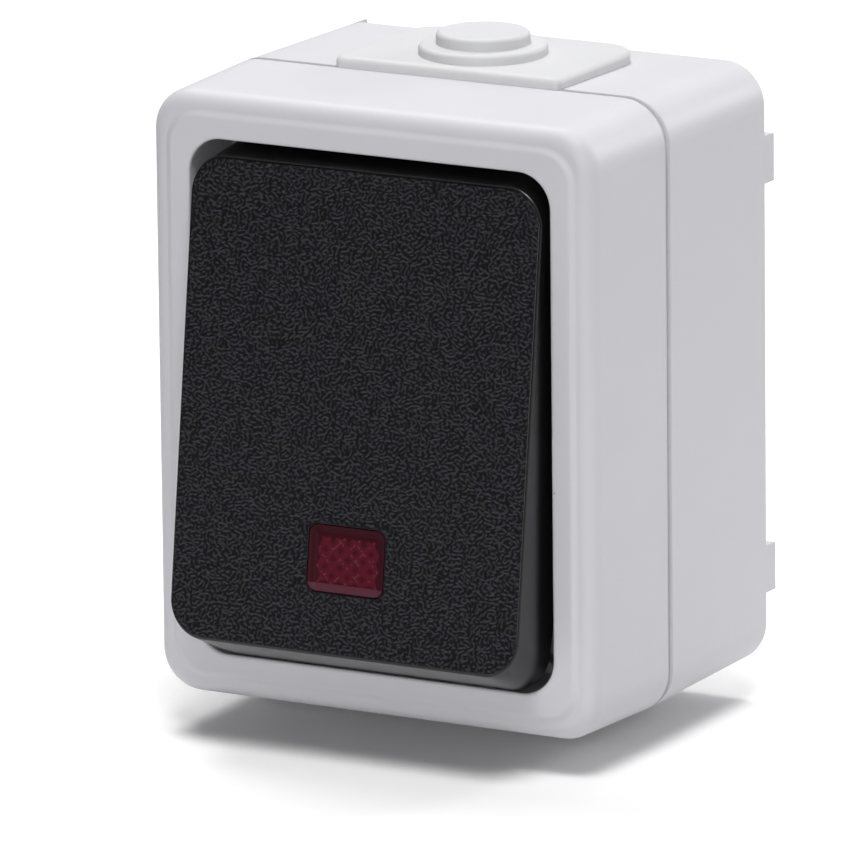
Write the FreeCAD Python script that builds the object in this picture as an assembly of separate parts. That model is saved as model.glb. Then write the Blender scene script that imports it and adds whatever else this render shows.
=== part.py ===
import FreeCAD, Part
import math
import os

os.makedirs("parts", exist_ok=True)
Vector = FreeCAD.Vector

# Frame: X to the right, +Z up, the wall plane is Y = 0 and the front looks along -Y.
# All sizes are in millimetres and degrees.

# Housing sizes
body_width = 64.8
body_height = 80.0
body_corner = 6.0
box_depth = 27.1
cover_depth = 20.0
parting_gap = 1.0
side_wall = 2.4
box_draft = 0.39
cover_draft = 0.54
cover_edge_round = 2.2
box_edge_round = 0.7
box_floor = 2.4

# Tongue and rebate at the parting line
tongue_thickness = 1.65
tongue_height = 2.4
rebate_clearance = 0.1
seal_height = 1.0

# Front border
panel_step = 0.4
panel_slope = 0.7
panel_side_margin = 3.65
panel_end_margin = 3.55
panel_corner = 4.0
panel_round = 0.3
border_side = 2.75
border_end = 2.8
opening_corner = 4.6
opening_round = 0.3
opening_relief = 0.3
lip_depth = 2.4
front_wall = 2.6

# Well behind the rocker
well_depth = 11.0
well_wall = 1.6
well_floor = 2.0
lever_window_width = 26.0
lever_window_height = 19.0
lamp_window_width = 17.0
lamp_window_height = 7.6
window_corner = 1.5
well_rib = 1.2

# Spacers on the back
foot_height = 2.5
foot_length = 6.2
foot_width = 4.2
foot_spacing = 54.0
foot_inset = 0.05
foot_round = 0.45
nub_reach = 4.6

# Wall screw slots
slot_radius = 2.5
slot_length = 8.4
slot_spacing = 46.0
slot_pad_radius = 6.0
slot_pad_length = 14.0

# Cable entries
gland_offset = 0.8
gland_slot_width = 20.0
gland_fit = 0.1
gland_axis_depth = 9.0
plate_width = 32.6
plate_thickness = 1.45
plate_seat = 0.03
plate_corner = 5.0
plate_front_corner = 1.0
plate_back_reach = 13.0
plate_round = 0.8
inner_flange_width = 26.0
inner_flange_thickness = 1.2
lower_disc_radius = 8.3
lower_disc_height = 1.35
upper_disc_radius = 6.05
upper_disc_height = 1.6
disc_round = 0.6
membrane = 1.1

# Rocker cap
rest_tilt = 7.5
pivot_depth = 3.67
face_to_pivot = 8.0
cap_side_gap = 0.7
cap_corner = 4.8
cap_face_round = 0.4
cap_wall = 2.0
cap_end_depth = 8.9
cap_end_flare = 2.7
cap_centre_depth = 13.3
cap_side_draw = 3.0
socket_wall = 1.4
socket_depth = 5.0
socket_half_width = 8.4
stiffener_margin = 3.2
stiffener_height = 2.6
stiffener_width = 1.2

# Indicator lens
lens_width = 10.9
lens_height = 8.45
lens_corner = 1.3
lens_fit = 0.15
lens_border = 0.8
lens_dish = 0.5
lens_flange = 0.9
lens_flange_thickness = 0.8
lens_seat = 0.05
lens_columns = 4
lens_rows = 6
lens_column_pitch = 2.1
lens_row_pitch = 1.1
lens_pit_radius = 0.6
lens_pit_depth = 0.6

# Drive lever with its plunger
trunnion_radius = 2.0
trunnion_fit = 0.05
hub_radius = 4.0
hub_half_length = 8.9
ear_gap = 0.3
ear_thickness = 2.2
ear_radius = 3.7
ear_base_half = 6.0
head_half_width = 8.0
head_half_height = 6.0
head_wall = 1.6
head_seat = 0.1
snap_length = 6.0
snap_height = 1.5
snap_bite = 0.5
tube_radius = 3.1
tube_reach = 11.0
bore_radius = 1.8
bore_start = 0.5
plunger_radius = 1.7
plunger_start = 6.0
plunger_reach = 16.0
spring_wire = 0.4
spring_turns = 5
spring_seat = 0.05

# Contact bridge and its terminal
bridge_axis_reach = 17.5
bridge_tilt = 6.0
bridge_width = 4.4
bridge_half_length = 9.6
bridge_thickness = 0.8
bridge_front = 1.4
knuckle_radius = 1.0
knuckle_fit = 0.05
cradle_half = 1.7
cradle_drop = 0.35
contact_arm = 7.9
tip_radius = 1.5
tip_height = 0.7
contact_gap = 0.08
strip_thickness = 1.0
strip_width = 5.0

# Switch insert
insert_half_width = 17.0
insert_top = 13.5
insert_bottom = 25.0
insert_wall = 2.0
insert_gasket = 1.0
insert_corner = 2.0
base_top = 24.5
base_thickness = 3.0
base_front_reach = 15.4
lug_clearance = 1.0
lug_half_height = 4.2
post_radius = 3.8
tube_slot_half_width = 4.4
tube_slot_half_height = 6.4
terminal_pitch = 12.0
terminal_z = 19.5
clamp_width = 7.0
clamp_height = 8.4
clamp_length = 6.0
clamp_wall = 1.0
cheek_thickness = 1.2
tail_end = 23.0
leg_z = 11.3
boss_radius = 2.4
base_screw_low_x = 12.2
base_screw_low_z = 20.2
base_screw_high_x = 6.0
base_screw_high_z = 8.6

# Fasteners
cover_screw_side = 8.0
cover_screw_end = 7.7
cover_boss_radius = 4.4
cover_head_radius = 3.0
cover_head_height = 2.0
cover_shank_radius = 1.5
cover_shank_length = 13.0
head_recess_radius = 3.5
head_recess_depth = 3.0
washer_radius = 3.2
washer_thickness = 0.8
thread_fit = 0.04
shank_clearance = 0.25
insert_head_radius = 2.8
insert_head_height = 1.8
insert_shank_radius = 1.4
insert_shank_length = 9.0
terminal_head_radius = 2.6
terminal_head_height = 1.8
terminal_shank_radius = 1.4
terminal_shank_length = 4.6
base_screw_head_radius = 2.1
base_screw_head_height = 1.2
base_screw_shank_radius = 1.0
base_screw_length = 7.0
slot_width = 0.8
slot_depth = 0.9

# Glow lamp
lamp_radius = 2.1
lamp_half_length = 5.4
lamp_sink = 1.0
lamp_drop = 17.4
carrier_half_width = 8.0
carrier_half_height = 3.3
carrier_depth = 5.4
carrier_ledge = 0.6
carrier_fit = 0.15
lead_radius = 0.35
lead_x = 6.4
resistor_radius = 1.2
resistor_length = 6.0
resistor_low_gap = 5.2
resistor_high_gap = 1.6
weld_length = 2.8
weld_rise = 1.2
wire_touch = 0.02

# Derived sizes
half_width = body_width / 2
half_height = body_height / 2
inner_half_width = half_width - side_wall
inner_half_height = half_height - side_wall
panel_width = body_width - 2 * panel_side_margin
panel_height = body_height - 2 * panel_end_margin
opening_width = panel_width - 2 * border_side
opening_height = panel_height - 2 * border_end
cap_half_width = opening_width / 2 - cap_side_gap
cap_half_height = opening_height / 2 - cap_end_flare
stiffener_offset = 3 * cap_half_width / 5
stiffener_half_length = cap_half_height - stiffener_margin
lens_drop = 3 * cap_half_height / 5
lug_half_width = inner_half_width - lug_clearance
lug_screw_x = (insert_half_width + inner_half_width) / 2
cover_screw_x = inner_half_width - cover_screw_side
cover_screw_z = inner_half_height - cover_screw_end

# Derived planes along Y
box_back_y = -foot_height
box_floor_y = box_back_y - box_floor
parting_y = box_back_y - box_depth
cover_rear_y = parting_y - parting_gap
front_y = parting_y - cover_depth
outer_front_y = front_y + panel_step
tongue_y = parting_y - tongue_height
seal_front_y = tongue_y - seal_height
well_floor_y = front_y + well_depth
well_rear_y = well_floor_y + well_floor
pivot_y = front_y + pivot_depth
cap_face_y = pivot_y - face_to_pivot
housing_front_y = well_rear_y + insert_gasket
base_front_y = housing_front_y + base_front_reach - insert_gasket
base_rear_y = base_front_y + base_thickness
bridge_y = pivot_y + bridge_axis_reach
gland_y = parting_y + gland_axis_depth
lamp_y = well_floor_y + lamp_sink
lamp_z = -lamp_drop
back = Vector(0, 1, 0)
across = Vector(1, 0, 0)
pivot_point = Vector(0, pivot_y, 0)
bridge_point = Vector(0, bridge_y, 0)


# Shape helpers
def block(x_range, y_range, z_range):
    """Box between pairs of limits."""
    corner = Vector(x_range[0], y_range[0], z_range[0])
    return Part.makeBox(x_range[1] - x_range[0], y_range[1] - y_range[0], z_range[1] - z_range[0], corner)


def outline(width, height, radius, y, x=0.0, z=0.0):
    """Closed rounded rectangle in the plane Y = y."""
    a = width / 2
    b = height / 2
    bend = radius * (1 - math.sqrt(0.5))
    edges = []
    for sx, sz in ((1, 1), (-1, 1), (-1, -1), (1, -1)):
        side = Vector(x + sx * a, y, z + sz * (b - radius))
        end = Vector(x + sx * (a - radius), y, z + sz * b)
        middle = Vector(x + sx * (a - bend), y, z + sz * (b - bend))
        first, last = (side, end) if sx * sz > 0 else (end, side)
        edges.append((first, middle, last))
    parts = []
    for index, (first, middle, last) in enumerate(edges):
        parts.append(Part.Arc(first, middle, last).toShape())
        following = edges[(index + 1) % len(edges)][0]
        parts.append(Part.LineSegment(last, following).toShape())
    return Part.Wire(parts)


def slab(width, height, radius, y_range, x=0.0, z=0.0):
    """Straight prism of a rounded rectangle between two Y planes."""
    face = Part.Face(outline(width, height, radius, y_range[0], x, z))
    return face.extrude(Vector(0, y_range[1] - y_range[0], 0))


def drafted(rear, front):
    """Tapered prism between two rounded rectangles, each (width, height, radius, y)."""
    return Part.makeLoft([outline(*rear), outline(*front)], True, True)


def polygon(points):
    """Flat face of a closed outline of corner points."""
    corners = [Vector(*point) for point in points]
    return Part.Face(Part.makePolygon(corners + corners[:1]))


def rod(radius, start, direction, length):
    """Round bar from a start point."""
    return Part.makeCylinder(radius, length, Vector(*start), direction)


def edges_on_plane(shape, y, inside=None):
    """Edges that lie in the plane Y = y, within an optional half width and half height."""
    found = []
    for edge in shape.Edges:
        flat = all(abs(vertex.Y - y) < 1e-4 for vertex in edge.Vertexes)
        centre = edge.CenterOfMass
        near = inside is None or (abs(centre.x) < inside[0] and abs(centre.z) < inside[1])
        if flat and near and abs(centre.y - y) < 1e-4:
            found.append(edge)
    return found


def tilted(shape):
    """Turns a rocker piece from its middle position to the rest position."""
    turned = shape.copy()
    turned.rotate(pivot_point, across, -rest_tilt)
    return turned


def save(name, shape):
    """Writes one node."""
    shape.exportStep("parts/" + name + ".step")


# Back box
def u_slot(z_range):
    """Cable entry slot, open to the front and round at its back."""
    half = gland_slot_width / 2
    straight = block((gland_offset - half, gland_offset + half), (seal_front_y, gland_y), z_range)
    round_end = rod(half, (gland_offset, gland_y, z_range[0]), Vector(0, 0, 1), z_range[1] - z_range[0])
    return straight.fuse(round_end)


def box_outer(y_front, y_back):
    """Outer form of the back box, narrower towards the wall."""
    rear = (body_width - 2 * box_draft, body_height - 2 * box_draft, body_corner - box_draft, y_back)
    return drafted(rear, (body_width, body_height, body_corner, y_front))


def feet():
    """Four spacers along the two sides and one nub at the upper left corner."""
    outer_x = half_width - box_draft - foot_inset
    solids = []
    for sx in (-1, 1):
        for sz in (-1, 1):
            x_limits = sorted((sx * outer_x, sx * (outer_x - foot_width)))
            z_mid = sz * foot_spacing / 2
            z_limits = (z_mid - foot_length / 2, z_mid + foot_length / 2)
            foot = block(x_limits, (box_back_y - foot_round, 0), z_limits)
            solids.append(foot.makeFillet(foot_round, edges_on_plane(foot, 0)))
    nub_zone = block((-half_width, nub_reach - half_width), (box_back_y, 0), (half_height - body_corner, half_height))
    rear_size = (body_width - 2 * box_draft, body_height - 2 * box_draft, body_corner - box_draft)
    nub = slab(*rear_size, (box_back_y - box_edge_round, 0))
    nub = nub.makeFillet(foot_round, edges_on_plane(nub, 0))
    solids.append(nub.common(nub_zone))
    return solids


def wall_slot(z_mid, radius, length, y_range):
    """Upright slot or pad with round ends."""
    reach = length / 2 - radius
    form = block((-radius, radius), y_range, (z_mid - reach, z_mid + reach))
    for z in (z_mid - reach, z_mid + reach):
        form = form.fuse(rod(radius, (0, y_range[0], z), back, y_range[1] - y_range[0]))
    return form.removeSplitter()


def make_back_box():
    """Moulded box with tongue, cable slots, wall slots, posts and spacers."""
    shell = box_outer(parting_y, box_back_y)
    shell = shell.makeFillet(box_edge_round, edges_on_plane(shell, box_back_y))
    shell = shell.fuse(feet())
    inner_corner = body_corner - side_wall
    tongue_outer = inner_half_width + tongue_thickness
    tongue_size = (2 * tongue_outer, 2 * (inner_half_height + tongue_thickness), inner_corner + tongue_thickness)
    shell = shell.fuse(slab(*tongue_size, (tongue_y, parting_y + side_wall)))
    cavity = slab(2 * inner_half_width, 2 * inner_half_height, inner_corner, (tongue_y, box_floor_y))
    shell = shell.cut(cavity)
    inside = []
    for sz in (-1, 1):
        z_mid = sz * slot_spacing / 2
        inside.append(wall_slot(z_mid, slot_pad_radius, slot_pad_length, (box_floor_y - 1.0, 0)))
    for sx in (-1, 1):
        inside.append(rod(post_radius, (sx * lug_screw_x, base_rear_y, 0), back, box_floor_y - base_rear_y))
        web_x = sorted((sx * lug_screw_x, sx * inner_half_width))
        inside.append(block(web_x, (base_rear_y, box_floor_y), (-well_rib / 2, well_rib / 2)))
    for sx, sz in ((-1, 1), (1, -1)):
        x_mid = sx * cover_screw_x
        z_mid = sz * cover_screw_z
        inside.append(rod(cover_boss_radius, (x_mid, parting_y, z_mid), back, box_floor_y - parting_y))
        web_x = sorted((x_mid, sx * inner_half_width))
        web_z = sorted((z_mid, sz * inner_half_height))
        inside.append(block(web_x, (parting_y, box_floor_y), (z_mid - well_rib / 2, z_mid + well_rib / 2)))
        inside.append(block((x_mid - well_rib / 2, x_mid + well_rib / 2), (parting_y, box_floor_y), web_z))
    shell = shell.fuse(inside)
    cuts = [u_slot((inner_half_height - 1, half_height + 1)), u_slot((-half_height - 1, 1 - inner_half_height))]
    for sz in (-1, 1):
        cuts.append(wall_slot(sz * slot_spacing / 2, slot_radius, slot_length, (box_floor_y - 2, 1)))
    pilot = insert_shank_radius + thread_fit
    for sx in (-1, 1):
        cuts.append(rod(pilot, (sx * lug_screw_x, base_rear_y, 0), back, insert_shank_length))
    pilot = cover_shank_radius + thread_fit
    for sx, sz in ((-1, 1), (1, -1)):
        start = (sx * cover_screw_x, parting_y, sz * cover_screw_z)
        cuts.append(rod(pilot, start, back, cover_shank_length))
    return shell.cut(cuts).removeSplitter()


# Front cover
def cover_boss_pairs():
    """Places of the two cover screws, on one diagonal."""
    return ((-cover_screw_x, cover_screw_z), (cover_screw_x, -cover_screw_z))


def make_front_cover():
    """Moulded frame with raised border, rocker opening and the well behind it."""
    rear = (body_width, body_height, body_corner, cover_rear_y)
    taper = 2 * cover_draft
    front = (body_width - taper, body_height - taper, body_corner - cover_draft, outer_front_y)
    shell = drafted(rear, front)
    shell = shell.makeFillet(cover_edge_round, edges_on_plane(shell, outer_front_y))
    base_width = panel_width + 2 * panel_slope
    base_height = panel_height + 2 * panel_slope
    panel_base = (base_width, base_height, panel_corner + panel_slope, outer_front_y)
    panel = drafted(panel_base, (panel_width, panel_height, panel_corner, front_y))
    panel = panel.makeFillet(panel_round, edges_on_plane(panel, front_y))
    shell = shell.fuse(panel)
    inner_corner = body_corner - side_wall
    hollow_y = (front_y + front_wall, cover_rear_y)
    shell = shell.cut(slab(2 * inner_half_width, 2 * inner_half_height, inner_corner, hollow_y))
    rebate_outer = inner_half_width + tongue_thickness + rebate_clearance
    rebate_height = inner_half_height + tongue_thickness + rebate_clearance
    rebate_corner = inner_corner + tongue_thickness + rebate_clearance
    rebate = slab(2 * rebate_outer, 2 * rebate_height, rebate_corner, (seal_front_y, cover_rear_y))
    shell = shell.cut(rebate)
    well_width = opening_width + 2 * well_wall
    well_height = opening_height + 2 * (opening_relief + well_wall)
    tub = slab(well_width, well_height, opening_corner + well_wall, (front_y + lip_depth, well_rear_y))
    added = [tub]
    for x, z in cover_boss_pairs():
        added.append(rod(cover_boss_radius, (x, well_floor_y, z), back, parting_y - well_floor_y))
    rib_y = (front_y + front_wall - 0.5, well_floor_y)
    for sx in (-1, 1):
        for z in (-opening_height / 4, 0.0, opening_height / 4):
            x_limits = sorted((sx * well_width / 2 - sx * 0.4, sx * (inner_half_width + 0.4)))
            added.append(block(x_limits, rib_y, (z - well_rib / 2, z + well_rib / 2)))
    for sz in (-1, 1):
        for x in (-opening_width / 4, opening_width / 4):
            z_limits = sorted((sz * well_height / 2 - sz * 0.4, sz * (inner_half_height + 0.4)))
            added.append(block((x - well_rib / 2, x + well_rib / 2), rib_y, z_limits))
    shell = shell.fuse(added)
    lip_rear = (opening_width, opening_height + 2 * opening_relief, opening_corner, front_y + lip_depth)
    lip_front = (opening_width, opening_height, opening_corner, front_y)
    pocket = slab(*lip_rear[:3], (lip_rear[3], well_floor_y))
    cuts = [drafted(lip_rear, lip_front), pocket]
    through = (well_floor_y - 1, well_rear_y + 1)
    cuts.append(slab(lever_window_width, lever_window_height, window_corner, through))
    cuts.append(slab(lamp_window_width, lamp_window_height, window_corner, through, 0.0, lamp_z))
    for x, z in cover_boss_pairs():
        cuts.append(rod(head_recess_radius, (x, well_floor_y, z), back, head_recess_depth))
        hole = cover_shank_radius + shank_clearance
        cuts.append(rod(hole, (x, well_floor_y, z), back, parting_y - well_floor_y + 1))
    shell = shell.cut(cuts).removeSplitter()
    around = ((opening_width + border_side) / 2, (opening_height + border_end) / 2)
    return shell.makeFillet(opening_round, edges_on_plane(shell, front_y, around))


def make_housing_seal():
    """Rubber ring squeezed between the tongue and the rebate."""
    grow = tongue_thickness - rebate_clearance
    corner = body_corner - side_wall
    y_range = (seal_front_y, tongue_y)
    outer = slab(2 * (inner_half_width + grow), 2 * (inner_half_height + grow), corner + grow, y_range)
    return outer.cut(slab(2 * inner_half_width, 2 * inner_half_height, corner, y_range))


# Cable glands
def make_top_gland():
    """Slide-in plate with a stepped blind membrane and an inner flange."""
    z_top = half_height + plate_seat
    z_low = half_height - box_draft
    plate_front = cover_rear_y
    plate_back = gland_y + plate_back_reach
    x_half = plate_width / 2
    left = gland_offset - x_half
    right = gland_offset + x_half
    bend = plate_corner * (1 - math.sqrt(0.5))
    edges = [
        Part.LineSegment(Vector(left, plate_front, z_low), Vector(right, plate_front, z_low)),
        Part.LineSegment(Vector(right, plate_front, z_low), Vector(right, plate_back - plate_corner, z_low)),
        Part.Arc(
            Vector(right, plate_back - plate_corner, z_low),
            Vector(right - bend, plate_back - bend, z_low),
            Vector(right - plate_corner, plate_back, z_low)),
        Part.LineSegment(
            Vector(right - plate_corner, plate_back, z_low),
            Vector(left + plate_corner, plate_back, z_low)),
        Part.Arc(
            Vector(left + plate_corner, plate_back, z_low),
            Vector(left + bend, plate_back - bend, z_low),
            Vector(left, plate_back - plate_corner, z_low)),
        Part.LineSegment(Vector(left, plate_back - plate_corner, z_low), Vector(left, plate_front, z_low)),
    ]
    crown = z_top + plate_thickness
    plate = Part.Face(Part.Wire([edge.toShape() for edge in edges])).extrude(Vector(0, 0, crown - z_low))
    fronts = [edge for edge in plate.Edges if is_upright(edge) and edge.Vertexes[0].Y < parting_y]
    plate = plate.makeFillet(plate_front_corner, fronts)
    rim = [edge for edge in plate.Edges if all(abs(v.Z - crown) < 1e-4 for v in edge.Vertexes)]
    plate = plate.makeFillet(plate_round, rim)
    seat = box_outer(parting_y, box_back_y)
    seat.translate(Vector(0, 0, plate_seat))
    plate = plate.cut(seat)
    up = Vector(0, 0, 1)
    lower = rod(lower_disc_radius, (gland_offset, gland_y, crown - 0.2), up, lower_disc_height + 0.2)
    lower = round_top(lower)
    step = crown + lower_disc_height
    upper = rod(upper_disc_radius, (gland_offset, gland_y, step - 0.2), up, upper_disc_height + 0.2)
    upper = round_top(upper)
    neck_half = gland_slot_width / 2 - gland_fit
    neck_low = inner_half_height - gland_fit
    neck_x = (gland_offset - neck_half, gland_offset + neck_half)
    neck_end = rod(neck_half, (gland_offset, gland_y, neck_low), up, z_top - neck_low)
    neck_end = neck_end.common(block(neck_x, (gland_y, gland_y + neck_half), (neck_low, z_top)))
    neck = block(neck_x, (parting_y, gland_y), (neck_low, z_top)).fuse(neck_end)
    tongue_top = inner_half_height + tongue_thickness
    tongue = block(neck_x, (tongue_y, parting_y), (inner_half_height, tongue_top))
    flange_low = neck_low - inner_flange_thickness
    flange_half = inner_flange_width / 2
    flange = block(
        (gland_offset - flange_half, gland_offset + flange_half),
        (parting_y, gland_y + flange_half - gland_slot_width / 8),
        (flange_low, neck_low))
    corners = [edge for edge in flange.Edges if edge.Vertexes[0].Y > gland_y and is_upright(edge)]
    flange = flange.makeFillet(plate_corner, corners)
    gland = plate.fuse([lower, upper, neck, tongue, flange])
    hollow = rod(lower_disc_radius - membrane, (gland_offset, gland_y, flange_low), up, step - membrane - flange_low)
    tip_top = step + upper_disc_height - membrane
    hollow = hollow.fuse(rod(upper_disc_radius - membrane, (gland_offset, gland_y, flange_low), up, tip_top - flange_low))
    return gland.cut(hollow).removeSplitter()


def is_upright(edge):
    """True for a straight edge along Z."""
    first, last = edge.Vertexes[0].Point, edge.Vertexes[-1].Point
    return abs(first.x - last.x) < 1e-6 and abs(first.y - last.y) < 1e-6 and abs(first.z - last.z) > 1e-6


def round_top(disc):
    """Rounds the upper rim of an upright disc."""
    top = disc.BoundBox.ZMax
    rim = [edge for edge in disc.Edges if abs(edge.CenterOfMass.z - top) < 1e-3 and len(edge.Vertexes) == 1]
    return disc.makeFillet(disc_round, rim)


# Rocker cap and lens
def cap_form(inset, rear_y):
    """Outer or inner form of the cap: flared ends, drawn-in sides and round corners."""
    start_y = cap_face_y + inset
    draw = math.tan(math.radians(cap_side_draw))
    flare = cap_end_flare / cap_end_depth
    front_half = cap_half_width - inset - inset * draw
    rear_half = cap_half_width - inset - (rear_y - cap_face_y) * draw
    plan = polygon([
        (-front_half, start_y, -body_height), (front_half, start_y, -body_height),
        (rear_half, rear_y, -body_height), (-rear_half, rear_y, -body_height)])
    wide = plan.extrude(Vector(0, 0, 2 * body_height))
    front_z = cap_half_height - inset + inset * flare
    rear_z = cap_half_height - inset + (rear_y - cap_face_y) * flare
    side = polygon([
        (-body_width, start_y, -front_z), (-body_width, start_y, front_z),
        (-body_width, rear_y, rear_z), (-body_width, rear_y, -rear_z)])
    form = wide.common(side.extrude(Vector(2 * body_width, 0, 0)))
    corners = []
    for edge in form.Edges:
        reach = abs(edge.Vertexes[0].Y - edge.Vertexes[-1].Y)
        if reach > (rear_y - start_y) / 2:
            corners.append(edge)
    return form.makeFillet(cap_corner - inset, corners)


def vee_trim():
    """Everything behind the rear edge of the cap, which is deepest at the pivot."""
    end_y = cap_face_y + cap_end_depth
    centre_y = cap_face_y + cap_centre_depth
    end_z = cap_half_height + cap_end_flare
    slope = (centre_y - end_y) / end_z
    far_z = 1.2 * end_z
    far_y = centre_y - slope * far_z
    beyond = centre_y + body_height
    face = polygon([
        (-body_width, centre_y, 0), (-body_width, far_y, far_z), (-body_width, beyond, far_z),
        (-body_width, beyond, -far_z), (-body_width, far_y, -far_z)])
    return face.extrude(Vector(2 * body_width, 0, 0))


def make_rocker_cap():
    """Hollow rocker with lens window, lever socket and stiffening ribs."""
    rear_y = cap_face_y + cap_centre_depth + 0.5
    outer = cap_form(0.0, rear_y)
    outer = outer.makeFillet(cap_face_round, edges_on_plane(outer, cap_face_y))
    cap = outer.cut(cap_form(cap_wall, rear_y + 2)).cut(vee_trim())
    inner_y = cap_face_y + cap_wall
    added = []
    rib_half = head_half_height + head_seat
    for sz in (-1, 1):
        z_limits = sorted((sz * rib_half, sz * (rib_half + socket_wall)))
        added.append(block((-socket_half_width, socket_half_width), (inner_y - 0.2, inner_y + socket_depth), z_limits))
    stiff_y = (inner_y - 0.2, inner_y + stiffener_height)
    for sx in (-1, 1):
        x_limits = sorted((sx * stiffener_offset, sx * (stiffener_offset + stiffener_width)))
        added.append(block(x_limits, stiff_y, (-stiffener_half_length, stiffener_half_length)))
    for z in (stiffener_half_length - stiffener_width, -stiffener_half_length):
        x_limits = (-stiffener_offset, stiffener_offset)
        added.append(block(x_limits, stiff_y, (z, z + stiffener_width)))
    cap = cap.fuse(added)
    window = slab(
        lens_width + 2 * lens_fit, lens_height + 2 * lens_fit, lens_corner + lens_fit,
        (cap_face_y - 1, inner_y + 1), 0.0, -lens_drop)
    cuts = [window]
    for sz in (-1, 1):
        z_limits = sorted((sz * (rib_half - 0.5), sz * (rib_half + socket_wall + 0.5)))
        snap_y = snap_centre_y()
        half_length = snap_length / 2 + 0.2
        half_snap = snap_height / 2 + 0.2
        cuts.append(block((-half_length, half_length), (snap_y - half_snap, snap_y + half_snap), z_limits))
    return tilted(cap.cut(cuts).removeSplitter())


def snap_centre_y():
    """Depth of the snap noses on the lever's head."""
    return cap_face_y + cap_wall + socket_depth / 2


def make_indicator_lens():
    """Dished lens with a seating flange and rows of pits on its back."""
    inner_y = cap_face_y + cap_wall + lens_seat
    flange_y = inner_y + lens_flange_thickness
    body = slab(lens_width, lens_height, lens_corner, (cap_face_y, flange_y), 0.0, -lens_drop)
    flange_size = (lens_width + 2 * lens_flange, lens_height + 2 * lens_flange, lens_corner + lens_flange)
    lens = body.fuse(slab(*flange_size, (inner_y, flange_y), 0.0, -lens_drop))
    rim = 2 * lens_border
    field = (lens_width - 2 * rim, lens_height - 2 * rim, lens_corner / 3, cap_face_y + lens_dish, 0.0, -lens_drop)
    mouth = (lens_width - rim / 2, lens_height - rim / 2, lens_corner, cap_face_y - 0.01, 0.0, -lens_drop)
    lens = lens.cut(drafted(field, mouth))
    pits = []
    for row in range(lens_rows):
        stagger = lens_column_pitch / 4 if row % 2 else -lens_column_pitch / 4
        z = -lens_drop + (row - (lens_rows - 1) / 2) * lens_row_pitch
        for column in range(lens_columns):
            x = (column - (lens_columns - 1) / 2) * lens_column_pitch + stagger
            pits.append(Part.makeCone(lens_pit_radius, 0, lens_pit_depth, Vector(x, flange_y, z), back.negative()))
    return tilted(lens.cut(pits))


# Drive lever, plunger and spring
def make_drive_lever():
    """Moulded lever with trunnions, snap-in head and plunger tube."""
    hub = rod(hub_radius, (-hub_half_length, pivot_y, 0), across, 2 * hub_half_length)
    pin_half = hub_half_length + ear_gap + ear_thickness - 0.2
    pins = rod(trunnion_radius, (-pin_half, pivot_y, 0), across, 2 * pin_half)
    head_y = cap_face_y + cap_wall + head_seat
    head = block(
        (-head_half_width, head_half_width), (head_y, pivot_y), (-head_half_height, head_half_height))
    waist = block(
        (-head_half_width - 1, head_half_width + 1), (pivot_y - 1.5, pivot_y + 0.5),
        (hub_radius - 0.6, head_half_height + 1))
    lower_waist = waist.mirror(Vector(0, 0, 0), Vector(0, 0, 1))
    tube = rod(tube_radius, (0, pivot_y, 0), back, tube_reach)
    lever = hub.fuse([pins, head.cut([waist, lower_waist]), tube])
    noses = []
    for sz in (-1, 1):
        z = sz * (head_half_height - snap_height / 2 + snap_bite)
        noses.append(rod(snap_height / 2, (-snap_length / 2, snap_centre_y(), z), across, snap_length))
    lever = lever.fuse(noses)
    cuts = [rod(bore_radius, (0, pivot_y + bore_start, 0), back, tube_reach)]
    core_y = (head_y - 1, pivot_y - hub_radius / 2)
    core_z = head_half_height - head_wall
    for sx in (-1, 1):
        core_x = sorted((sx * head_wall / 2, sx * (head_half_width - head_wall)))
        cuts.append(block(core_x, core_y, (-core_z, core_z)))
    return tilted(lever.cut(cuts).removeSplitter())


def make_detent_plunger():
    """Steel plunger with a ball nose and a spigot for the spring."""
    start = pivot_y + plunger_start
    nose_y = pivot_y + plunger_reach - plunger_radius
    body = rod(plunger_radius, (0, start, 0), back, nose_y - start)
    nose = Part.makeSphere(plunger_radius, Vector(0, nose_y, 0))
    spigot_radius = plunger_radius - spring_wire - 0.4
    spigot = rod(spigot_radius, (0, start - 1.5, 0), back, 1.6)
    return tilted(body.fuse([nose, spigot]).removeSplitter())


def make_plunger_spring():
    """Helical pressure spring between the bore's end and the plunger."""
    coil_radius = bore_radius - spring_wire / 2 - 0.15
    low = pivot_y + bore_start + spring_seat + spring_wire / 2
    high = pivot_y + plunger_start - spring_seat - spring_wire / 2
    pitch = (high - low) / spring_turns
    helix = Part.makeHelix(pitch, high - low, coil_radius)
    circle = Part.makeCircle(spring_wire / 2, Vector(coil_radius, 0, 0), Vector(0, 1, 0))
    coil = Part.Wire(helix.Edges).makePipeShell([Part.Wire([circle])], True, True)
    coil.rotate(Vector(0, 0, 0), across, -90)
    coil.translate(Vector(0, low, 0))
    return tilted(coil)


# Contacts
def bridge_turned(shape):
    """Turns a bridge piece from its middle position to rest, with the lower arm closed."""
    turned = shape.copy()
    turned.rotate(bridge_point, across, bridge_tilt)
    return turned


def bridge_arm(sign):
    """One arm of the bridge, bent forward by the tilt so that it lies flat when closed."""
    front = bridge_y - bridge_front
    z_limits = sorted((0, sign * bridge_half_length))
    arm = block((-bridge_width / 2, bridge_width / 2), (front, front + bridge_thickness), z_limits)
    arm.rotate(bridge_point, across, sign * bridge_tilt)
    return arm


def make_contact_bridge():
    """See-saw strip with a knuckle that rocks in the cradle."""
    half = bridge_width / 2
    knuckle = rod(knuckle_radius, (-half, bridge_y, 0), across, bridge_width)
    neck = block((-half, half), (bridge_y - bridge_front + 0.2, bridge_y), (-knuckle_radius, knuckle_radius))
    return bridge_turned(bridge_arm(1).fuse([bridge_arm(-1), knuckle, neck]).removeSplitter())


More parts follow.
